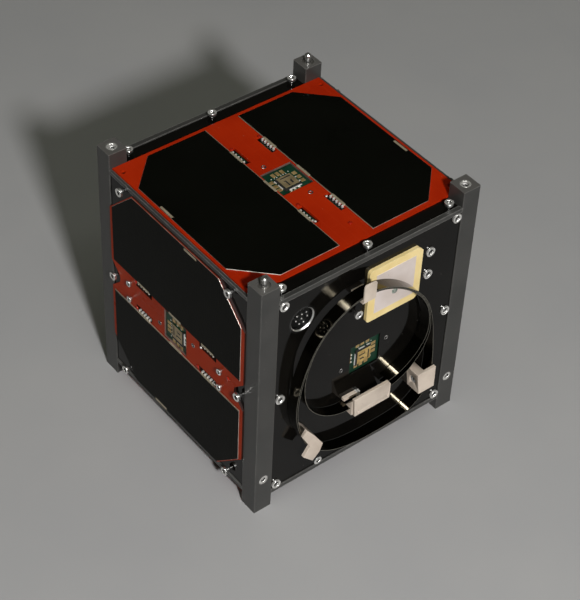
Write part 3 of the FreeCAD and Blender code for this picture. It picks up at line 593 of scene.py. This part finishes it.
def block(name, low, high):
    # a block between two corners, still to be shaped
    low, high = Vector(low), Vector(high)
    bpy.ops.mesh.primitive_cube_add(size=1, location=(low + high) / 2)
    piece = named(name)
    piece.scale = high - low
    settle(piece)
    return piece


def roundBar(name, place, radius, depth, sides):
    bpy.ops.mesh.primitive_cylinder_add(vertices=sides, radius=radius, depth=depth, location=place)
    piece = named(name)
    settle(piece)
    return piece


def cutAway(piece, cutter):
    applyModifier(piece, "BOOLEAN", operation="DIFFERENCE", object=cutter, solver="EXACT")
    removed(cutter)


def crowned(piece, kit, finish, outward=(0, 0, 1)):
    # the outer face drawn in by a rim and raised or sunk, then the corners rounded
    pickFaces(piece, lambda centre, normal: normal.dot(outward) > 0.5)
    bpy.ops.mesh.inset(thickness=kit["rim"])
    bpy.ops.transform.translate(value=Vector(outward) * kit["rise"])
    closeEdit()
    roundOff(piece, kit["edge"], kit["segments"], kit.get("angle", 20))
    coat(piece, finish)
    return piece


def makeCapScrew(name, look):
    # a head, low or on a neck; either the walls or the floor of its socket are painted dark as shade, and a
    # head on a neck has plain steel sides and an underside painted dark as shade
    tall = look["height"] - look["neck"]
    screw = roundBar(name, (0, 0, look["neck"] + tall / 2), look["radius"], tall, look["sides"])
    if look["neck"]:
        pickFaces(screw, lambda centre, normal: normal.z < -0.9)
        bpy.ops.mesh.inset(thickness=look["radius"] - look["neckRadius"])
        bpy.ops.mesh.extrude_region_move(TRANSFORM_OT_translate={"value": (0, 0, -look["neck"])})
        closeEdit()
    socket = roundBar("socket", (0, 0, look["height"]), look["socket"], look["socketDepth"] * 2, 6)
    cutAway(screw, socket)
    smoothed(screw, 30)
    roundOff(screw, look["edge"], 2, 40)
    coat(screw, "stainlessScrew", "paintedShadeBlack", "pinSteel")
    wallTop = look["height"] - look["socketDepth"] / 4
    necked = look["neck"] > 0
    for face in screw.data.polygons:
        out = math.hypot(face.center.x, face.center.y)
        inside = out < look["socket"] * 1.02 and look["neck"] < face.center.z < wallTop
        floor = face.normal.z > 0.7
        # socket insides and the undersides of necked heads take painted shade
        dark = inside and floor == look["shadeOnFloor"] or necked and face.normal.z < -0.5
        side = necked and abs(face.normal.z) < 0.5 and not inside
        face.material_index = 1 if dark else 2 if side else 0
    return screw


capScrew = {"radius": 1.8 * mm, "height": 2.7 * mm, "neck": 1.5 * mm, "neckRadius": 0.65 * mm,
            "socket": 0.95 * mm, "socketDepth": 0.8 * mm, "shadeOnFloor": False, "edge": 0.18 * mm, "sides": 40}
smallScrew = {"radius": 1.35 * mm, "height": 1.55 * mm, "neck": 0.75 * mm, "neckRadius": 0.6 * mm,
              "socket": 0.7 * mm, "socketDepth": 0.6 * mm, "shadeOnFloor": False, "edge": 0.14 * mm,
              "sides": 36}
plateScrew = {"radius": 2.0 * mm, "height": 0.9 * mm, "neck": 0, "socket": 1.4 * mm, "socketDepth": 0.6 * mm,
              "shadeOnFloor": True, "edge": 0.16 * mm, "sides": 40}
railScrew = {"radius": 2.15 * mm, "height": 1.6 * mm, "neck": 0, "socket": 1.1 * mm, "socketDepth": 0.8 * mm,
             "shadeOnFloor": False, "edge": 0.16 * mm, "sides": 36}
setScrew = {"radius": 2.2 * mm, "height": 6.0 * mm, "neck": 0, "socket": 1.55 * mm, "socketDepth": 1.3 * mm,
            "shadeOnFloor": True, "edge": 0.25 * mm, "sides": 36}
screws = {
    "cap": makeCapScrew("capScrew", capScrew),
    "small": makeCapScrew("smallScrew", smallScrew),
    "plate": makeCapScrew("plateScrew", plateScrew),
    "rail": makeCapScrew("railScrew", railScrew),
}

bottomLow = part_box("bottom_plate")[0]
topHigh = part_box("top_plate")[1]
leftLow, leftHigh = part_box("left_plate")
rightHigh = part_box("right_plate")[1]
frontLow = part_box("front_plate")[0]
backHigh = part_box("back_plate")[1]
middle = (leftLow.z + leftHigh.z) / 2
facing = {"up": (0, 0, 0), "down": (180, 0, 0), "left": (0, -90, 0), "right": (0, 90, 0),
          "front": (90, 0, 0), "back": (-90, 0, 0)}


def placeScrews(name, kind, turn, places):
    hand(spread(screws[kind], name, places, facing[turn]))


screwPlaces = {
    "topRow": 38.5 * mm, "topFromEdge": 46.3 * mm, "sideWide": 33.3 * mm, "sideEnd": 39.7 * mm,
    "sideHigh": 46.3 * mm, "stripAlong": 28.9 * mm, "stripAcross": 4.0 * mm, "frontWide": 39.8 * mm,
    "railHeight": 16.7 * mm, "railDepth": 1.75 * mm,
    "besidePatch": [(28.2 * mm, 92.5 * mm), (28.1 * mm, 81.6 * mm)],
    "insideCoil": [(-6.5 * mm, 81.7 * mm), (-21.3 * mm, 13.1 * mm)],
}
row, edgeLine = screwPlaces["topRow"], screwPlaces["topFromEdge"]
endPlaces = [(x, y) for y in (-edgeLine, edgeLine) for x in (-row, 0, row)]
placeScrews("topScrews", "cap", "up", [(x, y, topHigh.z) for x, y in endPlaces])
placeScrews("bottomScrews", "cap", "down", [(x, y, bottomLow.z) for x, y in endPlaces])

wide, high, far = screwPlaces["sideWide"], screwPlaces["sideHigh"], screwPlaces["sideEnd"]
sidePlaces = [(along, middle + up) for up in (-high, high) for along in (-wide, wide)]
sidePlaces += [(-far, middle), (far, middle)]
placeScrews("leftScrews", "cap", "left", [(leftLow.x, y, z) for y, z in sidePlaces])
placeScrews("rightScrews", "cap", "right", [(rightHigh.x, y, z) for y, z in sidePlaces])
placeScrews("backScrews", "cap", "back", [(x, backHigh.y, z) for x, z in sidePlaces])

along, across = screwPlaces["stripAlong"], screwPlaces["stripAcross"]
stripPlaces = [(a, middle + c) for a in (-along, along) for c in (-across, across)]
boardLeft, boardRight, boardBack = (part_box("solar_board_" + side) for side in ("left", "right", "back"))
placeScrews("leftStripScrews", "small", "left", [(boardLeft[0].x, y, z) for y, z in stripPlaces])
placeScrews("rightStripScrews", "small", "right", [(boardRight[1].x, y, z) for y, z in stripPlaces])
placeScrews("backStripScrews", "small", "back", [(x, boardBack[1].y, z) for x, z in stripPlaces])

wideFront = screwPlaces["frontWide"]
frontPlaces = [(x, middle + up) for x in (-wideFront, wideFront) for up in (-high, 0, high)]
frontPlaces += screwPlaces["besidePatch"]
placeScrews("frontScrews", "plate", "front", [(x, frontLow.y, z) for x, z in frontPlaces])
placeScrews("coilScrews", "cap", "front", [(x, frontLow.y, z) for x, z in screwPlaces["insideCoil"]])
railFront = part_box("rail_front")[0]
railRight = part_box("rail_right")[1]
railHalf = 4 * mm
placeScrews("railScrews", "rail", "front",
            [(x, railFront.y + screwPlaces["railDepth"], screwPlaces["railHeight"])
             for x in (railFront.x + railHalf, railRight.x - railHalf)])
removed(*screws.values())
seats = [(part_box(rail)[0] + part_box(rail)[1]) / 2 for rail in ("rail_left", "rail_right")]
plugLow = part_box("set_screws")[0].z
plugs = spread(makeCapScrew("plug", setScrew), "setScrews", [(seat.x, seat.y, plugLow) for seat in seats],
               spent=True)
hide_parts("set_screws")
hand(plugs)
print("screws set")

# the strip runs along b, the cells lie on both sides of it along a
solarFaces = {
    "top": dict(turn=(0, 0, 0), across="X", along="Y", middle=0.0, chipAcross=-0.3 * mm),
    "bottom": dict(turn=(0, 180, 0), across="X", along="Y", middle=0.0, chipAcross=0.3 * mm),
    "left": dict(turn=(0, -90, 0), across="Z", along="Y", middle=middle, chipAcross=0.0),
    "right": dict(turn=(0, 90, 0), across="Z", along="Y", middle=middle, chipAcross=0.0),
    "back": dict(turn=(-90, -90, 0), across="Z", along="X", middle=middle, chipAcross=0.0),
}


def faceMiddle(face):
    # the middle of the solar board's outer face
    low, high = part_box("solar_board_" + face)
    centre = (low + high) / 2
    axis = {"top": 2, "bottom": 2, "left": 0, "right": 0, "back": 1}[face]
    centre[axis] = low[axis] if face in ("bottom", "left") else high[axis]
    return centre


weldDistance = 0.002 * mm


def ownCopy(nodeName, name):
    # a node's mesh again, its loose triangles merged into whole faces
    focus(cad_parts[nodeName])
    bpy.ops.object.duplicate(linked=False)
    piece = named(name)
    bpy.ops.object.mode_set(mode="EDIT")
    bpy.ops.mesh.select_all(action="SELECT")
    bpy.ops.mesh.remove_doubles(threshold=weldDistance)
    bpy.ops.mesh.dissolve_limited(angle_limit=math.radians(1))
    bpy.ops.object.mode_set(mode="OBJECT")
    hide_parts(nodeName)
    return piece


stripKit = {
    "slotAcross": 6.1 * mm, "slotHalfWidth": 1.2 * mm, "slotAlong": 20.4 * mm, "slotHalfLength": 5.2 * mm,
    "holes": [(-2.8 * mm, 10.2 * mm), (2.3 * mm, -11.2 * mm)], "holeRadius": 0.6 * mm,
    "cornerHoles": (46.5 * mm, 37.8 * mm), "cornerRadius": 0.95 * mm, "cutHalfDepth": 2 * mm,
    "windowReach": 7.6 * mm,
    "clipPitch": 1.7 * mm, "clipAcross": (6.55 * mm, 7.7 * mm), "clipHalf": 0.31 * mm,
    "clipLow": -0.95 * mm, "clipHigh": 0.16 * mm,
    "clipCrown": dict(rim=0.16 * mm, rise=0.08 * mm, edge=0.08 * mm, segments=2),
    "socketAcross": (5.4 * mm, 5.85 * mm), "socketHalf": 3.2 * mm, "socketHeight": (-1.0 * mm, -0.8 * mm),
    "socketCrown": dict(rim=0.2 * mm, rise=-0.12 * mm, edge=0.05 * mm, segments=1),
    "tabAcross": 7.75 * mm, "tabHalfWidth": 0.5 * mm, "tabHalfLength": 3.7 * mm, "tabHeight": 0.38 * mm,
    "tabCrown": dict(rim=0.2 * mm, rise=0.03 * mm, edge=0.06 * mm, segments=2),
    "outerTabs": [(46.6 * mm, -9.9 * mm), (-46.9 * mm, 9.9 * mm)],
    "eyeletRadius": 1.0 * mm, "eyeletHole": 0.55 * mm, "eyeletHeight": 0.2 * mm, "eyeletEdge": 0.09 * mm,
}


def makeCutters(kit, cornerHoles):
    # all that is cut out of one solar board
    reach = Vector((kit["slotHalfWidth"], kit["slotHalfLength"], kit["cutHalfDepth"]))
    depth = 2 * kit["cutHalfDepth"]
    cutters = []
    for a in (-kit["slotAcross"], kit["slotAcross"]):
        for b in (-kit["slotAlong"], kit["slotAlong"]):
            centre = Vector((a, b, 0))
            cutters.append(block("slotCutter", centre - reach, centre + reach))
    for a, b in kit["holes"]:
        cutters.append(roundBar("holeCutter", (a, b, 0), kit["holeRadius"], depth, 20))
    if cornerHoles:
        wideHole, longHole = kit["cornerHoles"]
        for a in (-wideHole, wideHole):
            for b in (-longHole, longHole):
                cutters.append(roundBar("cornerCutter", (a, b, 0), kit["cornerRadius"], depth, 16))
    return joined(cutters, "boardCutters")


for face, facts in solarFaces.items():
    board = ownCopy("solar_board_" + face, "board_" + face)
    cutter = makeCutters(stripKit, cornerHoles=facts["across"] == "X")
    cutAway(board, placed(cutter, faceMiddle(face), facts["turn"]))
    # the side boards' red is a darker copy of the top's, as painted shade, and their edge faces are darkened
    # as painted shade; the window's walls show the raw board
    board.data.materials.clear()
    looks = (shadedSideBoardLook, paintedShadeEdgeLook) if facts["across"] == "Z" else (boardLook, boardLook)
    for name, look in zip(("redBoard_", "sawnEdge_"), looks):
        board.data.materials.append(boardMaterial(name + face, look, facts["across"], facts["along"]))
    board.data.materials.append(material["rawEdge"])
    outward = turned(facts["turn"], (0, 0, 1))
    reach = stripKit["windowReach"]
    for polygon in board.data.polygons:
        away = polygon.center - faceMiddle(face)
        away -= outward * away.dot(outward)
        side = abs(polygon.normal.dot(outward)) < 0.5
        inWindow = max(abs(value) for value in away) < reach
        polygon.material_index = 0 if not side else 2 if inWindow else 1
    hand(board)
print("solar boards cut")

cellKit = {"edge": 0.23 * mm, "segments": 4}
for face, facts in solarFaces.items():
    cells = ownCopy("solar_cells_" + face, "cells_" + face)
    smoothed(cells, 30)
    roundOff(cells, cellKit["edge"], cellKit["segments"], 30)
    outward = turned(facts["turn"], (0, 0, 1))
    cells.data.materials.clear()
    cells.data.materials.append(cellMaterial("solarCell_" + face, cellLook, facts["across"], facts["along"],
                                             facts["middle"]))
    cells.data.materials.append(material["groundEdge"])
    for polygon in cells.data.polygons:
        polygon.material_index = 0 if polygon.normal.dot(outward) > 0.9 else 1
    hand(cells)
print("solar cells laid")


def makeClips(kit):
    # five solder clips in a row over a slot's outer edge
    near, far = kit["clipAcross"]
    clip = block("clip", (near, -kit["clipHalf"], kit["clipLow"]), (far, kit["clipHalf"], kit["clipHigh"]))
    crowned(clip, kit["clipCrown"], "solder")
    steps = [(step - 2) * kit["clipPitch"] for step in range(5)]
    row = spread(clip, "clipRow", [(0, step, 0) for step in steps], spent=True)
    return atSlots(row, "solderClips", kit)


def makeSlotSockets(kit):
    # the part seen at the bottom of a slot
    near, far = kit["socketAcross"]
    low, high = kit["socketHeight"]
    socket = block("slotSocket", (near, -kit["socketHalf"], low), (far, kit["socketHalf"], high))
    return atSlots(crowned(socket, kit["socketCrown"], "greenBoard"), "slotSockets", kit)


def atSlots(row, name, kit):
    # to the four slots, outer side outwards
    pieces = []
    for number, (side, b) in enumerate([(0, kit["slotAlong"]), (0, -kit["slotAlong"]),
                                        (180, kit["slotAlong"]), (180, -kit["slotAlong"])]):
        pieces.append(copied(row, f"{name}{number}", (0, b, 0), (0, 0, side)))
    removed(row)
    return joined(pieces, name)


def makeTabs(kit):
    # thin metal tabs folded over the cells' edges
    tab = block("cellTab", (-kit["tabHalfWidth"], -kit["tabHalfLength"], 0),
                (kit["tabHalfWidth"], kit["tabHalfLength"], kit["tabHeight"]))
    crowned(tab, kit["tabCrown"], "tinnedTab")
    places = [(a, b, 0) for a in (-kit["tabAcross"], kit["tabAcross"])
              for b in (-kit["slotAlong"], 0, kit["slotAlong"])]
    places += [(a, b, 0) for a, b in kit["outerTabs"]]
    return spread(tab, "cellTabs", places, spent=True)


def makeEyelets(kit):
    # small rings that hold the sun sensor's board from outside
    ring = roundBar("eyelet", (0, 0, 0), kit["eyeletRadius"], kit["eyeletHeight"], 24)
    cutAway(ring, roundBar("eyeletHole", (0, 0, 0), kit["eyeletHole"], 2 * kit["eyeletHeight"], 20))
    roundOff(ring, kit["eyeletEdge"], 2, 40)
    coat(ring, "darkSteel")
    smoothed(ring)
    return spread(ring, "eyelets", [(a, b, 0) for a, b in kit["holes"]], spent=True)


# drops left by the soldering and varnishing at the slots' ends; a drop's rim is a share of its radius
dropRim = 0.4
dropCrown = {"rise": 0.1 * mm, "edge": 0.13 * mm, "segments": 3}
dropKits = {
    "resinDrops": {"finish": "redResin", "radius": 0.8 * mm, "height": 0.3 * mm,
                   "places": [(6.8 * mm, 25.5 * mm), (-6.5 * mm, 25.2 * mm), (-6.0 * mm, -14.3 * mm),
                              (3.1 * mm, -32.9 * mm)]},
    "solderDrops": {"finish": "solder", "radius": 0.5 * mm, "height": 0.3 * mm,
                    "places": [(-6.6 * mm, -25.0 * mm), (5.5 * mm, -16.4 * mm)]},
}


def makeDrops(name, kit):
    drop = roundBar("drop", (0, 0, kit["height"] / 2), kit["radius"], kit["height"], 20)
    crowned(drop, dict(dropCrown, rim=dropRim * kit["radius"]), kit["finish"])
    smoothed(drop, 60)
    return spread(drop, name, [(a, b, 0) for a, b in kit["places"]], spent=True)


# places are counted across and along the strip, from the window's middle, in millimetres
sensorKit = {
    "surface": -0.6 * mm, "padHeight": 0.08 * mm,
    "padCrown": dict(rim=0.06 * mm, rise=0.03 * mm, edge=0.03 * mm, segments=1, angle=30),
    "rows": {
        "endPads": ("goldPad", (0.72, 1.1), [(-2.75, 4.6), (-0.75, 4.6), (1.35, 4.6)]),
        "sidePads": ("goldPad", (0.9, 0.85), [(4.7, 1.55), (4.9, -1.0), (4.8, -3.4), (-5.7, 1.6),
                                              (-5.75, -0.9), (-5.7, -3.2)]),
        "lowPads": ("goldPad", (0.7, 0.25), [(-2.7, -6.35), (-0.9, -6.35), (1.1, -6.35)]),
        "bonds": ("solder", (0.42, 0.28), [(-2.3, -5.85), (-0.6, -5.9), (1.4, -5.8), (3.85, -0.5),
                                           (3.8, -3.0), (-5.0, 1.4), (-5.0, -2.9)]),
        "smallBonds": ("solder", (0.22, 0.22), [(-2.2, 3.1), (-0.3, 3.1), (1.9, 3.1), (-4.6, 3.4),
                                                (3.4, 3.6), (-3.4, 3.0), (0.8, 3.2)]),
    },
}


def makeSensorPads(kit):
    low, high = kit["surface"], kit["surface"] + kit["padHeight"]
    rows = []
    for name, (finish, half, places) in kit["rows"].items():
        pad = block(name, (-half[0] * mm, -half[1] * mm, low), (half[0] * mm, half[1] * mm, high))
        crowned(pad, kit["padCrown"], finish)
        rows.append(spread(pad, name, [(a * mm, b * mm, 0) for a, b in places], spent=True))
    return joined(rows, "sensorPads")


# marks and walls are given as their corners, from the chip's middle, in millimetres
chipKit = {
    "low": -0.13 * mm, "high": -0.04 * mm, "edge": 0.03 * mm, "wallHeight": 0.45 * mm, "wallEdge": 0.06 * mm,
    "markSunk": 0.02 * mm, "markRaised": 0.03 * mm, "markEdge": 0.012 * mm,
    "marks": [((-2.0, 1.75), (2.5, 2.3)), ((-1.2, -2.5), (-0.6, 0.45)), ((-1.7, 0.1), (-1.2, 0.45)),
              ((0.7, -1.95), (1.45, -0.3)), ((1.1, -0.3), (1.7, 0.1))],
    # black strips of painted shadow between the chip and its bond walls
    "paintedShadowGaps": [((-4.15, -4.1), (-3.35, 2.9)), ((-3.35, -4.1), (3.6, -3.3))],
    "walls": [((-4.5, -2.6), (-4.15, 0.2)), ((-4.5, 1.2), (-4.15, 2.6)), ((-2.6, -4.45), (3.2, -4.1))],
}


def makeChip(kit, halfAcross, halfAlong, finish):
    # the sensor's chip: dark marks on its cap, black strips of painted shadow in the gap between chip and
    # walls, and low bond walls along two sides
    board = sensorKit["surface"]
    cap = block("chipCap", (-halfAcross, -halfAlong, kit["low"]), (halfAcross, halfAlong, kit["high"]))
    roundOff(cap, kit["edge"], 1, 30)
    coat(cap, finish)
    pieces = [cap]
    # corners, lowest and highest point, edge, finish
    for corners, low, high, edge, tone in (
            (kit["marks"], kit["high"] - kit["markSunk"], kit["high"] + kit["markRaised"], kit["markEdge"],
             "blackMarkAndShadow"),
            (kit["paintedShadowGaps"], board, kit["high"], kit["markEdge"], "blackMarkAndShadow"),
            (kit["walls"], board, board + kit["wallHeight"], kit["wallEdge"], "solder")):
        for start, end in corners:
            piece = block("chipMark", (start[0] * mm, start[1] * mm, low), (end[0] * mm, end[1] * mm, high))
            roundOff(piece, edge, 1, 30)
            coat(piece, tone)
            pieces.append(piece)
    return joined(pieces, "chip")


chipAcross, chipAlong = 3.2 * mm, 3.1 * mm    # half sides of the chip
chipShift = -1.05 * mm    # along the strip
# a strip's small parts, each with its slot
details = {
    "solderClips": ("contact_gold", makeClips(stripKit)),
    "slotSockets": ("sensor_board", makeSlotSockets(stripKit)),
    "cellTabs": ("contact_gold", makeTabs(stripKit)),
    "eyelets": ("dark_steel", makeEyelets(stripKit)),
    "resinDrops": ("board_red", makeDrops("resinDrops", dropKits["resinDrops"])),
    "solderDrops": ("contact_gold", makeDrops("solderDrops", dropKits["solderDrops"])),
    "sensorPads": ("contact_gold", makeSensorPads(sensorKit)),
}
chip = makeChip(chipKit, chipAcross, chipAlong, "tanChip")
for face, facts in solarFaces.items():
    for name, (slotName, master) in details.items():
        hand(copied(master, f"{name}_{face}", faceMiddle(face), facts["turn"]))
    place = faceMiddle(face) + turned(facts["turn"], (facts["chipAcross"], chipShift, 0))
    hand(copied(chip, "chip_" + face, place, facts["turn"]))
sensorPads, eyelets = details.pop("sensorPads")[1], details.pop("eyelets")[1]
removed(*[master for slotName, master in details.values()], chip)

# the sensor behind the front plate is turned a quarter
frontSensor = {"turn": (90, 90, 0), "chip": (0.6 * mm, 0, 0), "proud": 0.1 * mm}
sensorLow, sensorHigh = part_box("sun_sensor_front")
window = (sensorLow + sensorHigh) / 2
window.y = sensorLow.y - frontSensor["proud"]
hand(copied(sensorPads, "sensorPads_front", window, frontSensor["turn"]))
chip = makeChip(chipKit, chipAlong, chipAcross, "giltChipWithPaintedHighlight")
place = window + turned(frontSensor["turn"], frontSensor["chip"])
hand(copied(chip, "chip_front", place, frontSensor["turn"]))
hand(copied(eyelets, "eyelets_front", (window.x, frontLow.y, window.z), frontSensor["turn"]))
removed(sensorPads, eyelets, chip)
dress(material["greenBoard"], *["sun_sensor_" + face for face in solarFaces], "sun_sensor_front")
print("strips and sun sensors detailed")

pinEdge = 0.2 * mm
pins = ownCopy("connector_pins", "connectorPins")
smoothed(pins, 40)
roundOff(pins, pinEdge, 2, 40)
coat(pins, "stainlessScrew", "paintedShadeBlack")
# the pins' sides are painted dark as shade inside the insert; their tips stay bright steel
for polygon in pins.data.polygons:
    polygon.material_index = 1 if abs(polygon.normal.y) < 0.3 else 0
hand(pins)


def makeShell(kit):
    # the connector's barrel with a bright funnel turned into its mouth
    shell = ownCopy("connector_shell", "connectorShell")
    low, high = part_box("connector_shell")
    centre = (low + high) / 2
    bpy.ops.mesh.primitive_cone_add(vertices=64, radius1=kit["narrow"], radius2=kit["wide"],
                                    depth=kit["depth"])
    place = (centre.x, low.y - kit["proud"] + kit["depth"] / 2, centre.z)
    cutAway(shell, placed(named("funnelCutter"), place, facing["front"]))
    smoothed(shell, 30)
    roundOff(shell, kit["edge"], 2, 35)
    coat(shell, "glossyBlackShell", "satinLip")
    for polygon in shell.data.polygons:
        away = math.hypot(polygon.center.x - centre.x, polygon.center.z - centre.z)
        inMouth = polygon.center.y < low.y + kit["depth"] and away < kit["wide"]
        lip = inMouth and -0.95 < polygon.normal.y < -0.2
        polygon.material_index = 1 if lip else 0
    hand(shell)


shellKit = {"narrow": 4.6 * mm, "wide": 5.3 * mm, "depth": 0.75 * mm, "proud": 0.1 * mm, "edge": 0.04 * mm}
makeShell(shellKit)
print("connector finished")

holderKit = {"edge": 0.14 * mm, "holeRadius": 0.45 * mm, "holeDepth": 0.8 * mm,
             "holes": [(-6.7 * mm, 34.8 * mm), (7.75 * mm, 35.0 * mm)]}
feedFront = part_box("antenna_holder_feed")[0].y
for name in ("top", "right", "feed", "left"):
    holder = ownCopy("antenna_holder_" + name, "holder_" + name)
    if name == "feed":
        for x, z in holderKit["holes"]:
            hole = roundBar("holderHole", (0, 0, 0), holderKit["holeRadius"], 2 * holderKit["holeDepth"], 16)
            cutAway(holder, placed(hole, (x, feedFront, z), facing["front"]))
    roundOff(holder, holderKit["edge"], 2, 40)
    coat(holder, "whiteHolderPlastic")
    smoothed(holder, 30)
    hand(holder)
print("tape holders finished")

# what is soldered and clamped on the front face
frontKit = {
    "feedDot": (11.0 * mm, 83.5 * mm), "feedRadius": 1.35 * mm, "feedHeight": 0.35 * mm,
    "feedCrown": dict(rim=0.6 * mm, rise=0.18 * mm, edge=0.2 * mm, segments=3),
    "leads": [(-3.0 * mm, 36.3 * mm), (-1.8 * mm, 36.0 * mm)], "leadHalf": 0.32 * mm, "leadLength": 2.4 * mm,
    "leadOut": 1.4 * mm, "leadCrown": dict(rim=0.12 * mm, rise=0.15 * mm, edge=0.08 * mm, segments=2),
    "clampInwards": 1.8 * mm, "clampBelow": 3.5 * mm, "clampHeight": 31.0 * mm,
}
clampScrew = dict(railScrew, radius=1.6 * mm, height=0.9 * mm, socket=0.6 * mm, socketDepth=0.5 * mm)


def makeFeedDot(kit):
    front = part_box("patch_metal")[0].y
    dot = roundBar("feedDot", (0, 0, 0), kit["feedRadius"], kit["feedHeight"], 28)
    crowned(dot, kit["feedCrown"], "tarnishedSolder")
    smoothed(dot, 60)
    x, z = kit["feedDot"]
    hand(placed(dot, (x, front, z), facing["front"]))


def makeLeads(kit):
    leads = []
    for x, z in kit["leads"]:
        lead = block("lead", (x - kit["leadHalf"], frontLow.y - kit["leadOut"], z),
                     (x + kit["leadHalf"], frontLow.y, z + kit["leadLength"]))
        leads.append(crowned(lead, kit["leadCrown"], "solder", outward=(0, -1, 0)))
    hand(joined(leads, "feedLeads"))


def makeClampScrew(kit):
    # the screw that lies in the recess of the right holder's side
    low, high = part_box("antenna_holder_right")
    place = (low.x + kit["clampInwards"], high.y - kit["clampBelow"], kit["clampHeight"])
    hand(placed(makeCapScrew("clampScrew", clampScrew), place, facing["left"]))


makeFeedDot(frontKit)
makeLeads(frontKit)
makeClampScrew(frontKit)
print("front face detailed")

floorKit = {"side": 6, "dark": (0.435, 0.435, 0.44, 1), "light": (0.455, 0.453, 0.453, 1),
            "rough": (0.55, 0.62), "bump": 0.03}


def makeFloor(kit):
    bpy.ops.mesh.primitive_plane_add(size=kit["side"], location=(0, 0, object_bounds()[0].z))
    floor = named("floor")
    settle(floor)
    surface, tree, shader = newMaterial("paleFloor")
    grain = useGroup(tree, grainGroup, {"Grain Size": 900.0, "Cloud Size": 14.0})
    base = mixColours(tree, grain.outputs["Cloud"], kit["dark"], kit["light"])
    rough = rangeNode(tree, grain.outputs["Grain"], 0.3, 0.7, *kit["rough"])
    feed(tree, shader, base, rough, bumpNormal(tree, grain.outputs["Grain"], kit["bump"]))
    floor.data.materials.append(surface)
    floor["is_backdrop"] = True


makeFloor(floorKit)
